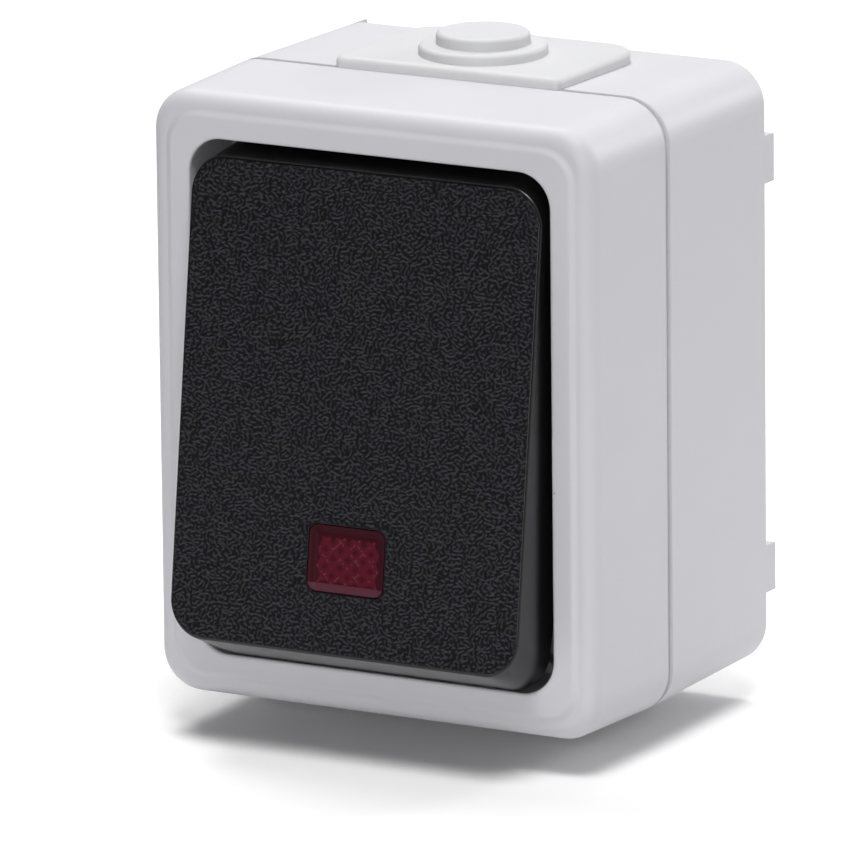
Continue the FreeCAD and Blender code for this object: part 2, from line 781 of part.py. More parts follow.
def make_moving_contact_tips():
    """Silver tips riveted to the back of both arms."""
    tips = []
    for sign in (-1, 1):
        rear = bridge_y - bridge_front + bridge_thickness
        tip = rod(tip_radius, (0, rear, sign * contact_arm), back, tip_height)
        tip.rotate(bridge_point, across, sign * bridge_tilt)
        tips.append(bridge_turned(tip))
    return Part.makeCompound(tips)


def fixed_tip_y():
    """Front plane of the fixed tips."""
    return bridge_y - bridge_front + bridge_thickness + tip_height + contact_gap


def contact_z(sign):
    """Height of a contact pair when the arm is closed."""
    return sign * contact_arm


def make_fixed_contact_tips():
    """Silver tips on the two fixed contacts."""
    tips = [rod(tip_radius, (0, fixed_tip_y(), contact_z(sign)), back, tip_height) for sign in (-1, 1)]
    return Part.makeCompound(tips)


def folded_strip(sign, tail_z):
    """Strip folded from the contact level back to the base: pad, leg and tail."""
    pad_y = fixed_tip_y() + tip_height
    tail_y = base_front_y - strip_thickness
    inner = contact_z(sign) - sign * (tip_radius + 0.8)
    leg_outer = sign * leg_z
    leg_inner = sign * (leg_z - strip_thickness)
    x = -strip_width / 2
    points = [
        (x, pad_y, inner), (x, pad_y, leg_outer), (x, tail_y, leg_outer), (x, tail_y, tail_z),
        (x, base_front_y, tail_z), (x, base_front_y, leg_inner), (x, pad_y + strip_thickness, leg_inner),
        (x, pad_y + strip_thickness, inner)]
    return polygon(points).extrude(Vector(strip_width, 0, 0))


def flat_track(points):
    """Flat stamped track on the base, from its outline in X and Z."""
    y = base_front_y - strip_thickness
    face = polygon([(x, y, z) for x, z in points])
    return face.extrude(Vector(0, strip_thickness, 0))


def make_upper_contact():
    """Upper fixed contact with its tail in the middle terminal."""
    return folded_strip(1, tail_end).removeSplitter()


def make_lower_contact():
    """Lower fixed contact, led round to the left terminal."""
    half = strip_width / 2
    foot_z = -leg_z - half
    strip = folded_strip(-1, foot_z)
    x_left = -terminal_pitch - half
    x_right = -terminal_pitch + half
    track = flat_track([
        (half, foot_z), (half, foot_z + strip_thickness * 2), (x_right, foot_z + strip_thickness * 2),
        (x_right, tail_end), (x_left, tail_end), (x_left, foot_z)])
    return strip.fuse(track).removeSplitter()


def make_pivot_terminal():
    """Common terminal with the cradle that carries the bridge."""
    half = strip_width / 2
    top = bridge_y + cradle_drop
    saddle = block((-bridge_width / 2, bridge_width / 2), (top, base_front_y), (-cradle_half, cradle_half))
    groove = rod(knuckle_radius + knuckle_fit, (-bridge_width, bridge_y, 0), across, 2 * bridge_width)
    track = flat_track([
        (-half, -half), (terminal_pitch + half, -half), (terminal_pitch + half, tail_end),
        (terminal_pitch - half, tail_end), (terminal_pitch - half, half), (-half, half)])
    return saddle.fuse(track).cut(groove).removeSplitter()


# Switch insert
def insert_z(top, bottom):
    """Middle height and height of a form between a top and a bottom reach."""
    return (top - bottom) / 2, top + bottom


def base_screw_places():
    """Places of the four screws that hold the base to the housing."""
    low = [(sx * base_screw_low_x, -base_screw_low_z) for sx in (-1, 1)]
    high = [(sx * base_screw_high_x, base_screw_high_z) for sx in (-1, 1)]
    return low + high


def bearing_ears():
    """Two ears that carry the lever's trunnions in front of the housing."""
    ears = []
    for sign in (-1, 1):
        inner = hub_half_length + ear_gap
        x = inner if sign > 0 else -inner - ear_thickness
        foot_y = housing_front_y + insert_wall / 2
        web = polygon([
            (x, foot_y, -ear_base_half), (x, foot_y, ear_base_half),
            (x, pivot_y, ear_radius), (x, pivot_y, -ear_radius)])
        ear = web.extrude(Vector(ear_thickness, 0, 0))
        ear = ear.fuse(rod(ear_radius, (x, pivot_y, 0), across, ear_thickness))
        ears.append(ear)
    return ears


def make_switch_housing():
    """Insulating hood of the insert, with bearing ears and screw bosses."""
    z_mid, height = insert_z(insert_top, insert_bottom)
    y_range = (housing_front_y, base_front_y)
    hood = slab(2 * insert_half_width, height, insert_corner, y_range, 0.0, z_mid)
    inner_y = (housing_front_y + insert_wall, base_front_y)
    hood = hood.cut(slab(
        2 * (insert_half_width - insert_wall), height - 2 * insert_wall, insert_corner / 2, inner_y, 0.0, z_mid))
    bosses = []
    boss_y = housing_front_y + insert_wall / 2
    for x, z in base_screw_places():
        bosses.append(rod(boss_radius, (x, boss_y, z), back, base_front_y - strip_thickness * 1.2 - boss_y))
    hood = hood.fuse(bosses + bearing_ears())
    front = (housing_front_y - 1, housing_front_y + insert_wall + 1)
    cuts = [slab(2 * tube_slot_half_width, 2 * tube_slot_half_height, window_corner, front)]
    slot_half_width = carrier_half_width - carrier_ledge + carrier_fit
    slot_half_height = carrier_half_height - carrier_ledge + carrier_fit
    cuts.append(slab(2 * slot_half_width, 2 * slot_half_height, window_corner, front, 0.0, lamp_z))
    pin_bore = trunnion_radius + trunnion_fit
    reach = hub_half_length + ear_gap + ear_thickness + 1
    cuts.append(rod(pin_bore, (-reach, pivot_y, 0), across, 2 * reach))
    pilot = base_screw_shank_radius + thread_fit
    for x, z in base_screw_places():
        depth = base_screw_length - base_thickness + 1
        cuts.append(rod(pilot, (x, base_front_y - depth, z), back, depth))
    for x in (-terminal_pitch, 0, terminal_pitch):
        slot = block(
            (x - strip_width / 2 - 0.1, x + strip_width / 2 + 0.1),
            (base_front_y - strip_thickness - 0.1, base_front_y),
            (insert_top - insert_wall - 0.5, insert_top + 0.5))
        cuts.append(slot)
    return hood.cut(cuts).removeSplitter()


def make_switch_base():
    """Insulating base with pedestals, terminal cheeks and fixing lugs."""
    z_mid, height = insert_z(base_top, insert_bottom)
    y_range = (base_front_y, base_rear_y)
    base = slab(2 * insert_half_width, height, insert_corner, y_range, 0.0, z_mid)
    lugs = slab(2 * lug_half_width, 2 * lug_half_height, insert_corner, y_range)
    pieces = [lugs]
    pedestal_y = fixed_tip_y() + tip_height + strip_thickness
    for sign in (-1, 1):
        z_limits = sorted((contact_z(sign) - sign * 2.0, sign * (leg_z - strip_thickness - 0.1)))
        half = strip_width / 2
        pieces.append(block((-half, half), (pedestal_y, base_front_y), z_limits))
    cheek_y = (base_front_y - clamp_height + 1.0, base_front_y)
    cheek_z = (insert_top + 0.6, base_top)
    for index in range(4):
        x = (index - 1.5) * terminal_pitch
        if abs(x) > terminal_pitch:
            x = math.copysign(insert_half_width - cheek_thickness / 2, x)
        pieces.append(block((x - cheek_thickness / 2, x + cheek_thickness / 2), cheek_y, cheek_z))
    base = base.fuse(pieces)
    cuts = []
    for sx in (-1, 1):
        hole = insert_shank_radius + shank_clearance
        cuts.append(rod(hole, (sx * lug_screw_x, base_front_y - 1, 0), back, base_thickness + 2))
    for x, z in base_screw_places():
        hole = base_screw_shank_radius + shank_clearance
        cuts.append(rod(hole, (x, base_front_y - 1, z), back, base_thickness + 2))
        recess = base_screw_head_radius + shank_clearance
        cuts.append(rod(recess, (x, base_rear_y - base_screw_head_height, z), back, base_screw_head_height + 1))
    for x in (-terminal_pitch, 0, terminal_pitch):
        half = clamp_width / 2 + 0.1
        cuts.append(block(
            (x - half, x + half), (base_front_y - 0.01, base_front_y + clamp_wall + 0.1),
            (terminal_z - clamp_length / 2 - 0.1, terminal_z + clamp_length / 2 + 0.1)))
    return base.cut(cuts).removeSplitter()


def make_terminal_clamps():
    """Three cage clamps that close round the strip tails."""
    rear_y = base_front_y + clamp_wall
    front = rear_y - clamp_height
    clamps = []
    for x in (-terminal_pitch, 0, terminal_pitch):
        z_limits = (terminal_z - clamp_length / 2, terminal_z + clamp_length / 2)
        half = clamp_width / 2
        cage = block((x - half, x + half), (front, rear_y), z_limits)
        upright = [edge for edge in cage.Edges if is_upright(edge)]
        cage = cage.makeFillet(clamp_wall, upright)
        window = block(
            (x - half + clamp_wall - 0.05, x + half - clamp_wall + 0.05), (front + clamp_wall, base_front_y),
            (z_limits[0] - 1, z_limits[1] + 1))
        hole = rod(terminal_shank_radius + thread_fit, (x, front - 1, terminal_z), back, clamp_wall + 2)
        clamps.append(cage.cut([window, hole]))
    return Part.makeCompound(clamps)


# Screws
def slotted_screw(head, shank, x, z, seat_y, direction):
    """Cheese-head screw: head and shank are (radius, length), the head stands before the seat."""
    axis = Vector(0, direction, 0)
    top_y = seat_y - direction * head[1]
    screw = rod(head[0], (x, top_y, z), axis, head[1])
    rim = [edge for edge in screw.Edges if abs(edge.CenterOfMass.y - top_y) < 1e-3 and len(edge.Vertexes) == 1]
    screw = screw.makeFillet(head[1] / 5, rim)
    screw = screw.fuse(rod(shank[0], (x, seat_y, z), axis, shank[1]))
    slot_limits = sorted((top_y - direction, top_y + direction * slot_depth))
    slot = block((x - slot_width / 2, x + slot_width / 2), slot_limits, (z - 2 * head[0], z + 2 * head[0]))
    return screw.cut(slot)


def make_cover_screws():
    """Two screws through the well into the box."""
    seat = well_floor_y + head_recess_depth - washer_thickness
    head = (cover_head_radius, cover_head_height)
    shank = (cover_shank_radius, parting_y - seat + cover_shank_length - 1)
    return Part.makeCompound([slotted_screw(head, shank, x, z, seat, 1) for x, z in cover_boss_pairs()])


def make_cover_screw_seals():
    """Sealing washers under the heads of the cover screws."""
    washers = []
    for x, z in cover_boss_pairs():
        start = (x, well_floor_y + head_recess_depth - washer_thickness, z)
        ring = rod(washer_radius, start, back, washer_thickness)
        washers.append(ring.cut(rod(cover_shank_radius + thread_fit, start, back, washer_thickness)))
    return Part.makeCompound(washers)


def make_insert_screws():
    """Two screws that hold the insert on the posts of the box."""
    head = (insert_head_radius, insert_head_height)
    shank = (insert_shank_radius, base_thickness + insert_shank_length - 1)
    return Part.makeCompound([slotted_screw(head, shank, sx * lug_screw_x, 0, base_front_y, 1) for sx in (-1, 1)])


def make_terminal_screws():
    """Three clamp screws, turned from the front."""
    head = (terminal_head_radius, terminal_head_height)
    shank = (terminal_shank_radius, terminal_shank_length)
    seat = base_front_y + clamp_wall - clamp_height
    places = (-terminal_pitch, 0, terminal_pitch)
    return Part.makeCompound([slotted_screw(head, shank, x, terminal_z, seat, 1) for x in places])


def make_base_screws():
    """Four small screws from the back into the housing."""
    head = (base_screw_head_radius, base_screw_head_height)
    shank = (base_screw_shank_radius, base_screw_length - base_screw_head_height)
    seat = base_rear_y - base_screw_head_height
    return Part.makeCompound([slotted_screw(head, shank, x, z, seat, -1) for x, z in base_screw_places()])


def make_insert_gasket():
    """Flat gasket between the well floor and the insert."""
    z_mid, height = insert_z(insert_top - 0.3, insert_bottom - 0.3)
    y_range = (well_rear_y, housing_front_y)
    sheet = slab(2 * (insert_half_width - 0.3), height, insert_corner, y_range, 0.0, z_mid)
    lever_hole = slab(lever_window_width, lever_window_height, window_corner, y_range)
    lamp_hole = slab(lamp_window_width, lamp_window_height, window_corner, y_range, 0.0, lamp_z)
    return sheet.cut([lever_hole, lamp_hole])


# Glow lamp
def make_neon_lamp():
    """Glass tube with a round end."""
    tube = rod(lamp_radius, (-lamp_half_length, lamp_y, lamp_z), across, 2 * lamp_half_length - lamp_radius)
    dome = Part.makeSphere(lamp_radius, Vector(lamp_half_length - lamp_radius, lamp_y, lamp_z))
    return tube.fuse(dome).removeSplitter()


def make_lamp_carrier():
    """Moulded trough that holds the lamp in its window."""
    size = (2 * carrier_half_width, 2 * carrier_half_height, window_corner)
    carrier = slab(*size, (lamp_y - 0.4, housing_front_y), 0.0, lamp_z)
    foot_half_width = carrier_half_width - carrier_ledge
    foot_size = (2 * foot_half_width, 2 * (carrier_half_height - carrier_ledge), window_corner - carrier_fit)
    carrier = carrier.fuse(slab(*foot_size, (housing_front_y, lamp_y + carrier_depth), 0.0, lamp_z))
    trough_radius = lamp_radius + carrier_fit
    half = lamp_half_length + 0.3
    trough = rod(trough_radius, (-half, lamp_y, lamp_z), across, 2 * half)
    mouth = block((-half, half), (lamp_y - 1, lamp_y), (lamp_z - trough_radius, lamp_z + trough_radius))
    cuts = [trough, mouth]
    for sx in (-1, 1):
        lead_hole = lead_radius + 0.1
        cuts.append(rod(lead_hole, (sx * lead_x, lamp_y - 1, lamp_z), back, carrier_depth + 2))
        x_limits = sorted((sx * (half - 0.1), sx * (lead_x + lead_hole)))
        cuts.append(block(x_limits, (lamp_y - 1, lamp_y + lead_hole), (lamp_z - lead_hole, lamp_z + lead_hole)))
    return carrier.cut(cuts).removeSplitter()


def wire_run(points):
    """Round wire through a list of points, with a ball at each bend."""
    solids = []
    for first, last in zip(points[:-1], points[1:]):
        run = Vector(*last) - Vector(*first)
        solids.append(Part.makeCylinder(lead_radius, run.Length, Vector(*first), run))
    for point in points[1:-1]:
        solids.append(Part.makeSphere(lead_radius, Vector(*point)))
    return solids[0].fuse(solids[1:]).removeSplitter()


def resistor_axis():
    """Start, end and direction of the lead that carries the resistor."""
    track_y = base_front_y - strip_thickness
    start = Vector(lead_x, track_y - resistor_low_gap, lamp_z)
    end = Vector(terminal_pitch, track_y - resistor_high_gap, 0)
    run = end - start
    return start, end, run.normalize()


def make_lamp_resistor():
    """Series resistor of the lamp."""
    start, end, direction = resistor_axis()
    low = (start + end) * 0.5 - direction * (resistor_length / 2)
    body = Part.makeCylinder(resistor_radius, resistor_length, low, direction)
    return body.makeFillet(resistor_radius / 3, [edge for edge in body.Edges if len(edge.Vertexes) == 1])


def make_lamp_leads():
    """Wires from the lamp to the left and right terminals."""
    start, end, direction = resistor_axis()
    centre = (start + end) * 0.5
    half = direction * (resistor_length / 2 + wire_touch)
    track_y = base_front_y - strip_thickness - lead_radius - wire_touch
    lamp_end = lamp_half_length + wire_touch
    lower = wire_run([
        (lamp_end, lamp_y, lamp_z), (lead_x, lamp_y, lamp_z), tuple(start), tuple(centre - half)])
    upper = wire_run([
        tuple(centre + half), tuple(end), (end.x, track_y, end.z + weld_rise),
        (end.x, track_y, end.z + weld_rise + weld_length)])
    left = wire_run([
        (-lamp_end, lamp_y, lamp_z), (-lead_x, lamp_y, lamp_z), (-lead_x, start.y, lamp_z),
        (-terminal_pitch, track_y, -leg_z), (-terminal_pitch, track_y, weld_length - leg_z)])
    return Part.makeCompound([lower, upper, left])


nodes = {
    "back_box": make_back_box,
    "front_cover": make_front_cover,
    "housing_seal": make_housing_seal,
    "top_gland": make_top_gland,
    "bottom_gland": lambda: make_top_gland().mirror(Vector(0, 0, 0), Vector(0, 0, 1)),
    "rocker_cap": make_rocker_cap,
    "indicator_lens": make_indicator_lens,
    "drive_lever": make_drive_lever,
    "detent_plunger": make_detent_plunger,
    "plunger_spring": make_plunger_spring,
    "contact_bridge": make_contact_bridge,
    "moving_contact_tips": make_moving_contact_tips,
    "fixed_contact_tips": make_fixed_contact_tips,
    "upper_contact": make_upper_contact,
    "lower_contact": make_lower_contact,
    "pivot_terminal": make_pivot_terminal,
    "switch_housing": make_switch_housing,
    "switch_base": make_switch_base,
    "terminal_clamps": make_terminal_clamps,
    "terminal_screws": make_terminal_screws,
    "insert_gasket": make_insert_gasket,
    "insert_screws": make_insert_screws,
    "base_screws": make_base_screws,
    "cover_screws": make_cover_screws,
    "cover_screw_seals": make_cover_screw_seals,
    "neon_lamp": make_neon_lamp,
    "lamp_carrier": make_lamp_carrier,
    "lamp_resistor": make_lamp_resistor,
    "lamp_leads": make_lamp_leads,
}

for node_name, maker in nodes.items():
    save(node_name, maker())
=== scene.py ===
"""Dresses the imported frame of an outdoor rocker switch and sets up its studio."""
import logging
import math
from dataclasses import dataclass
from enum import Enum

import bpy
import numpy as np
from mathutils import Matrix, Vector


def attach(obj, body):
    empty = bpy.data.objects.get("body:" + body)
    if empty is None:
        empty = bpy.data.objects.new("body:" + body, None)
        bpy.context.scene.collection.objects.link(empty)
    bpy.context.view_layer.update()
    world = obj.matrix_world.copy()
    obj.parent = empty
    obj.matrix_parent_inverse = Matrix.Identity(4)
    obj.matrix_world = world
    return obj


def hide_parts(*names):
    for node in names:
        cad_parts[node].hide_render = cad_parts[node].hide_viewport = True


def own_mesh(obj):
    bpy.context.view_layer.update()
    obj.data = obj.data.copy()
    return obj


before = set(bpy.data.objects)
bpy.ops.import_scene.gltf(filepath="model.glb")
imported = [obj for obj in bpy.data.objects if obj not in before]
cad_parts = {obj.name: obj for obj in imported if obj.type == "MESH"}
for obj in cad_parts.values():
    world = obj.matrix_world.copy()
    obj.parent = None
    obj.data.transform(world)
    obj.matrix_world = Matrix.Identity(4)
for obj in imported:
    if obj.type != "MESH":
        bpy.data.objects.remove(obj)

LOG = logging.getLogger("switch")
MM = 0.001
TINY = 1e-9
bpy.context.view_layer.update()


class Space(Enum):
    """What a pattern is laid out in: the piece's own place, or the direction on the world."""

    OBJECT = "Object"
    DIRECTION = "Generated"


class Ray(Enum):
    """The kinds of ray that a finish may show something else to."""

    CAMERA = "Is Camera Ray"
    MIRROR = "Is Glossy Ray"
    GLASS = "Is Transmission Ray"


def linear(colour: str) -> tuple[float, float, float, float]:
    """Turns an sRGB hex colour into linear light by the standard's curve.

    The curve is a straight foot for dark values and a power of 2.4 above it.

    Args:
        colour: six hex digits after a hash sign.

    Returns:
        Red, green, blue and an alpha of 1.
    """
    parts = np.array([int(colour[i:i + 2], 16) / 255 for i in (1, 3, 5)])
    low = parts / 12.92
    high = ((parts + 0.055) / 1.055) ** 2.4
    red, green, blue = np.where(parts <= 0.04045, low, high)
    return float(red), float(green), float(blue), 1.0


def add_node(
    tree: bpy.types.NodeTree,
    kind: str,
    settings: dict[str | int, object] | None = None,
    links: dict[str | int, object] | None = None,
) -> bpy.types.Node:
    """Adds one node, sets it up and links its inputs.

    Args:
        tree: the node tree to add to.
        kind: the node's type name.
        settings: attribute names, or input names and numbers, with their values.
        links: input names or numbers with the output socket that feeds each.

    Returns:
        The new node.
    """
    node = tree.nodes.new(kind)
    for name, value in (settings or {}).items():
        if isinstance(name, str) and hasattr(node, name):
            setattr(node, name, value)
        else:
            node.inputs[name].default_value = value
    for name, socket in (links or {}).items():
        tree.links.new(socket, node.inputs[name])
    return node


def new_material(name: str) -> tuple[bpy.types.Material, bpy.types.NodeTree]:
    """Makes an empty node material.

    Args:
        name: the material's name.

    Returns:
        The material and its node tree.
    """
    material = bpy.data.materials.new(name)
    material.use_nodes = True
    material.node_tree.nodes.clear()
    return material, material.node_tree


def surface_output(tree: bpy.types.NodeTree, shader: bpy.types.NodeSocket) -> None:
    """Feeds a shader to the material's surface."""
    add_node(tree, "ShaderNodeOutputMaterial", links={"Surface": shader})


@dataclass(frozen=True)
class MouldedPlastic:
    """Injection-moulded plastic or rubber with a fine spark-eroded texture from its mould.

    The texture breaks up highlights into a soft satin sheen, and slow flow marks
    change the tone by a few percent. Edges are rubbed round, and catch a soft line
    of light. The real texture is too fine to show, so it is drawn coarser.
    """

    name: str
    colour: str
    dark: str
    roughness: float = 0.5
    smoother: float = 0.04
    rougher: float = 0.05
    flow_mm: float = 14.0
    texture_mm: float = 0.16
    texture_depth_mm: float = 0.012
    edge_mm: float = 0.1
    shine: float = 0.5
    speck_share: float = 0.0
    speck_spacing_mm: float = 2.2
    speck_radius: float = 0.055
    speck_colour: str = "#77757A"

    def build(self) -> bpy.types.Material:
        """Makes the material.

        Returns:
            The new material.
        """
        material, tree = new_material(self.name)
        place = add_node(tree, "ShaderNodeTexCoord").outputs[Space.OBJECT.value]
        flow = add_node(
            tree, "ShaderNodeTexNoise",
            {"Scale": 1 / (self.flow_mm * MM), "Detail": 3.0, "Roughness": 0.6}, {"Vector": place})
        tone = add_node(
            tree, "ShaderNodeMix",
            {"data_type": "RGBA", 6: linear(self.dark), 7: linear(self.colour)},
            {0: flow.outputs["Fac"]})
        colour = tone.outputs[2]
        if self.speck_share > 0:
            colour = self.specks(tree, place, colour)
        texture = add_node(
            tree, "ShaderNodeTexNoise",
            {"Scale": 1 / (self.texture_mm * MM), "Detail": 2.0, "Roughness": 0.55},
            {"Vector": place})
        rubbed = add_node(tree, "ShaderNodeBevel", {"samples": 6, "Radius": self.edge_mm * MM})
        bump = add_node(
            tree, "ShaderNodeBump", {"Strength": 0.5, "Distance": self.texture_depth_mm * MM},
            {"Height": texture.outputs["Fac"], "Normal": rubbed.outputs["Normal"]})
        gloss = add_node(
            tree, "ShaderNodeMapRange",
            {"To Min": self.roughness - self.smoother, "To Max": self.roughness + self.rougher},
            {"Value": flow.outputs["Fac"]})
        shader = add_node(
            tree, "ShaderNodeBsdfPrincipled", {"IOR": 1.53, "Specular IOR Level": self.shine},
            {"Base Color": colour, "Roughness": gloss.outputs["Result"],
             "Normal": bump.outputs["Normal"]})
        surface_output(tree, shader.outputs["BSDF"])
        return material

    def specks(
        self, tree: bpy.types.NodeTree, place: bpy.types.NodeSocket, colour: bpy.types.NodeSocket
    ) -> bpy.types.NodeSocket:
        """Adds rare dark specks of dust in the moulding, about a quarter of a millimetre wide.

        A speck is the middle of a cell, out to a share of the cell's width, in the
        few cells that chance picks.

        Args:
            tree: the material's node tree.
            place: the coordinates that the specks lie in.
            colour: the colour under the specks.

        Returns:
            The colour with its specks.
        """
        cells = add_node(
            tree, "ShaderNodeTexVoronoi", {"Scale": 1 / (self.speck_spacing_mm * MM)},
            {"Vector": place})
        near = add_node(
            tree, "ShaderNodeMath", {"operation": "LESS_THAN", 1: self.speck_radius},
            {0: cells.outputs["Distance"]})
        pick = add_node(tree, "ShaderNodeSeparateColor", links={"Color": cells.outputs["Color"]})
        rare = add_node(
            tree, "ShaderNodeMath", {"operation": "LESS_THAN", 1: self.speck_share},
            {0: pick.outputs["Red"]})
        both = add_node(
            tree, "ShaderNodeMath", {"operation": "MULTIPLY"},
            {0: near.outputs[0], 1: rare.outputs[0]})
        mixed = add_node(
            tree, "ShaderNodeMix", {"data_type": "RGBA", 7: linear(self.speck_colour)},
            {0: both.outputs[0], 6: colour})
        return mixed.outputs[2]


@dataclass(frozen=True)
class GrainedPlastic:
    """Black weather-proof plastic with a leather-like grain etched into its mould.

    The thin worm-like ridges are worn smoother than the matt valleys, and a lighter
    colour on them is a painted highlight, for the light from above that they catch.
    The valleys' fine etching scatters most of the shine, so they read as black.
    Slow patches of a faint blue come from the pigment.
    """

    name: str = "black_asa_etched_grain"
    valley: str = "#0E0E10"
    # The two ridge colours are a painted highlight over the black, in two tints.
    ridge: str = "#434346"
    ridge_highlight_blue: str = "#41414B"
    valley_roughness: float = 0.66
    ridge_roughness: float = 0.44
    shine: float = 0.1
    patch_mm: float = 3.0
    patch_low: float = 0.4
    patch_high: float = 0.6
    etching_mm: float = 0.12
    etching_depth_mm: float = 0.012

    def build(self) -> bpy.types.Material:
        """Makes the material, which reads the ridge height from the attribute grain and paints the
        ridges' highlight by it.

        Returns:
            The new material.
        """
        material, tree = new_material(self.name)
        place = add_node(tree, "ShaderNodeTexCoord").outputs[Space.OBJECT.value]
        height = add_node(tree, "ShaderNodeAttribute", {"attribute_name": "grain"}).outputs["Fac"]
        patches = add_node(
            tree, "ShaderNodeTexNoise", {"Scale": 1 / (self.patch_mm * MM), "Detail": 2.0},
            {"Vector": place})
        drift = add_node(
            tree, "ShaderNodeMapRange", {"From Min": self.patch_low, "From Max": self.patch_high},
            {"Value": patches.outputs["Fac"]})
        crest = add_node(
            tree, "ShaderNodeMix",
            {"data_type": "RGBA", 6: linear(self.ridge), 7: linear(self.ridge_highlight_blue)},
            {0: drift.outputs["Result"]})
        # Painted highlight: the lighter ridge colour is laid over the valley colour by the ridge
        # height.
        colour = add_node(
            tree, "ShaderNodeMix", {"data_type": "RGBA", 6: linear(self.valley)},
            {0: height, 7: crest.outputs[2]})
        gloss = add_node(
            tree, "ShaderNodeMapRange",
            {"To Min": self.valley_roughness, "To Max": self.ridge_roughness}, {"Value": height})
        etching = add_node(
            tree, "ShaderNodeTexNoise", {"Scale": 1 / (self.etching_mm * MM), "Detail": 2.0},
            {"Vector": place})
        bump = add_node(
            tree, "ShaderNodeBump", {"Strength": 0.4, "Distance": self.etching_depth_mm * MM},
            {"Height": etching.outputs["Fac"]})
        shader = add_node(
            tree, "ShaderNodeBsdfPrincipled", {"IOR": 1.52, "Specular IOR Level": self.shine},
            {"Base Color": colour.outputs[2], "Roughness": gloss.outputs["Result"],
             "Normal": bump.outputs["Normal"]})
        surface_output(tree, shader.outputs["BSDF"])
        return material


@dataclass(frozen=True)
class TintedLens:
    """Deep red polycarbonate, moulded with prisms behind a polished front.

    An even deep red is where the prisms send light back. Their tips and the bevels,
    which send none back, get a darker colour, a painted shade for the dark behind
    the lens, and broken prism edges get painted glints.
    """

    name: str = "red_polycarbonate_prismatic"
    field: str = "#561A27"
    # dark is a painted shade where the prisms send no light back, and glint a painted highlight.
    dark: str = "#3A141C"
    glint: str = "#6E4350"
    roughness: float = 0.28
    rougher: float = 0.1
    shine: float = 0.02
    through: float = 0.03
    wear_mm: float = 0.5

    def build(self) -> bpy.types.Material:
        """Makes the material, which paints into its colour how much light comes back, from two
        attributes.

        Returns:
            The new material.
        """
        material, tree = new_material(self.name)
        place = add_node(tree, "ShaderNodeTexCoord").outputs[Space.OBJECT.value]
        back = add_node(
            tree, "ShaderNodeAttribute", {"attribute_name": "sent_back"}).outputs["Fac"]
        edge = add_node(
            tree, "ShaderNodeAttribute", {"attribute_name": "painted_glints"}).outputs["Fac"]
        # Painted shade: the dark colour where the prisms send no light back.
        body = add_node(
            tree, "ShaderNodeMix",
            {"data_type": "RGBA", 6: linear(self.dark), 7: linear(self.field)}, {0: back})
        # Painted glints of the prism edges and painted highlight of the lower bevel.
        lit = add_node(
            tree, "ShaderNodeMix", {"data_type": "RGBA", 7: linear(self.glint)},
            {0: edge, 6: body.outputs[2]})
        wear = add_node(
            tree, "ShaderNodeTexNoise", {"Scale": 1 / (self.wear_mm * MM), "Detail": 3.0},
            {"Vector": place})
        gloss = add_node(
            tree, "ShaderNodeMapRange",
            {"To Min": self.roughness, "To Max": self.roughness + self.rougher},
            {"Value": wear.outputs["Fac"]})
        shader = add_node(
            tree, "ShaderNodeBsdfPrincipled",
            {"IOR": 1.58, "Specular IOR Level": self.shine, "Transmission Weight": self.through},
            {"Base Color": lit.outputs[2], "Roughness": gloss.outputs["Result"]})
        surface_output(tree, shader.outputs["BSDF"])
        return material


@dataclass(frozen=True)
class WorkedMetal:
    """Metal with the marks of its making, such as rolled strip, turned screws or drawn wire.

    The marks break a mirror-like highlight up into a dull, slightly patchy one.
    """

    name: str
    colour: str
    roughness: float = 0.3
    smoother: float = 0.08
    rougher: float = 0.12
    mark_mm: float = 0.25
    mark_depth_mm: float = 0.01

    def build(self) -> bpy.types.Material:
        """Makes the material.

        Returns:
            The new material.
        """
        material, tree = new_material(self.name)
        place = add_node(tree, "ShaderNodeTexCoord").outputs[Space.OBJECT.value]
        marks = add_node(
            tree, "ShaderNodeTexNoise", {"Scale": 1 / (self.mark_mm * MM), "Detail": 4.0},
            {"Vector": place})
        gloss = add_node(
            tree, "ShaderNodeMapRange",
            {"To Min": self.roughness - self.smoother, "To Max": self.roughness + self.rougher},
            {"Value": marks.outputs["Fac"]})
        bump = add_node(
            tree, "ShaderNodeBump", {"Strength": 0.3, "Distance": self.mark_depth_mm * MM},
            {"Height": marks.outputs["Fac"]})
        shader = add_node(
            tree, "ShaderNodeBsdfPrincipled", {"Base Color": linear(self.colour), "Metallic": 1.0},
            {"Roughness": gloss.outputs["Result"], "Normal": bump.outputs["Normal"]})
        surface_output(tree, shader.outputs["BSDF"])
        return material


@dataclass(frozen=True)
class LampGlass:
    """Soft glass tube of a glow lamp, clear with a faint warm tint and a slow haze."""

    name: str = "soda_glass_drawn_tube"
    colour: str = "#F4E4D4"
    clear_roughness: float = 0.02
    haze_roughness: float = 0.1
    haze_mm: float = 1.5
    through: float = 0.9

    def build(self) -> bpy.types.Material:
        """Makes the material.

        Returns:
            The new material.
        """
        material, tree = new_material(self.name)
        place = add_node(tree, "ShaderNodeTexCoord").outputs[Space.OBJECT.value]
        haze = add_node(
            tree, "ShaderNodeTexNoise", {"Scale": 1 / (self.haze_mm * MM)}, {"Vector": place})
        gloss = add_node(
            tree, "ShaderNodeMapRange",
            {"To Min": self.clear_roughness, "To Max": self.haze_roughness},
            {"Value": haze.outputs["Fac"]})
        shader = add_node(
            tree, "ShaderNodeBsdfPrincipled",
            {"Base Color": linear(self.colour), "IOR": 1.5, "Transmission Weight": self.through},
            {"Roughness": gloss.outputs["Result"]})
        surface_output(tree, shader.outputs["BSDF"])
        return material


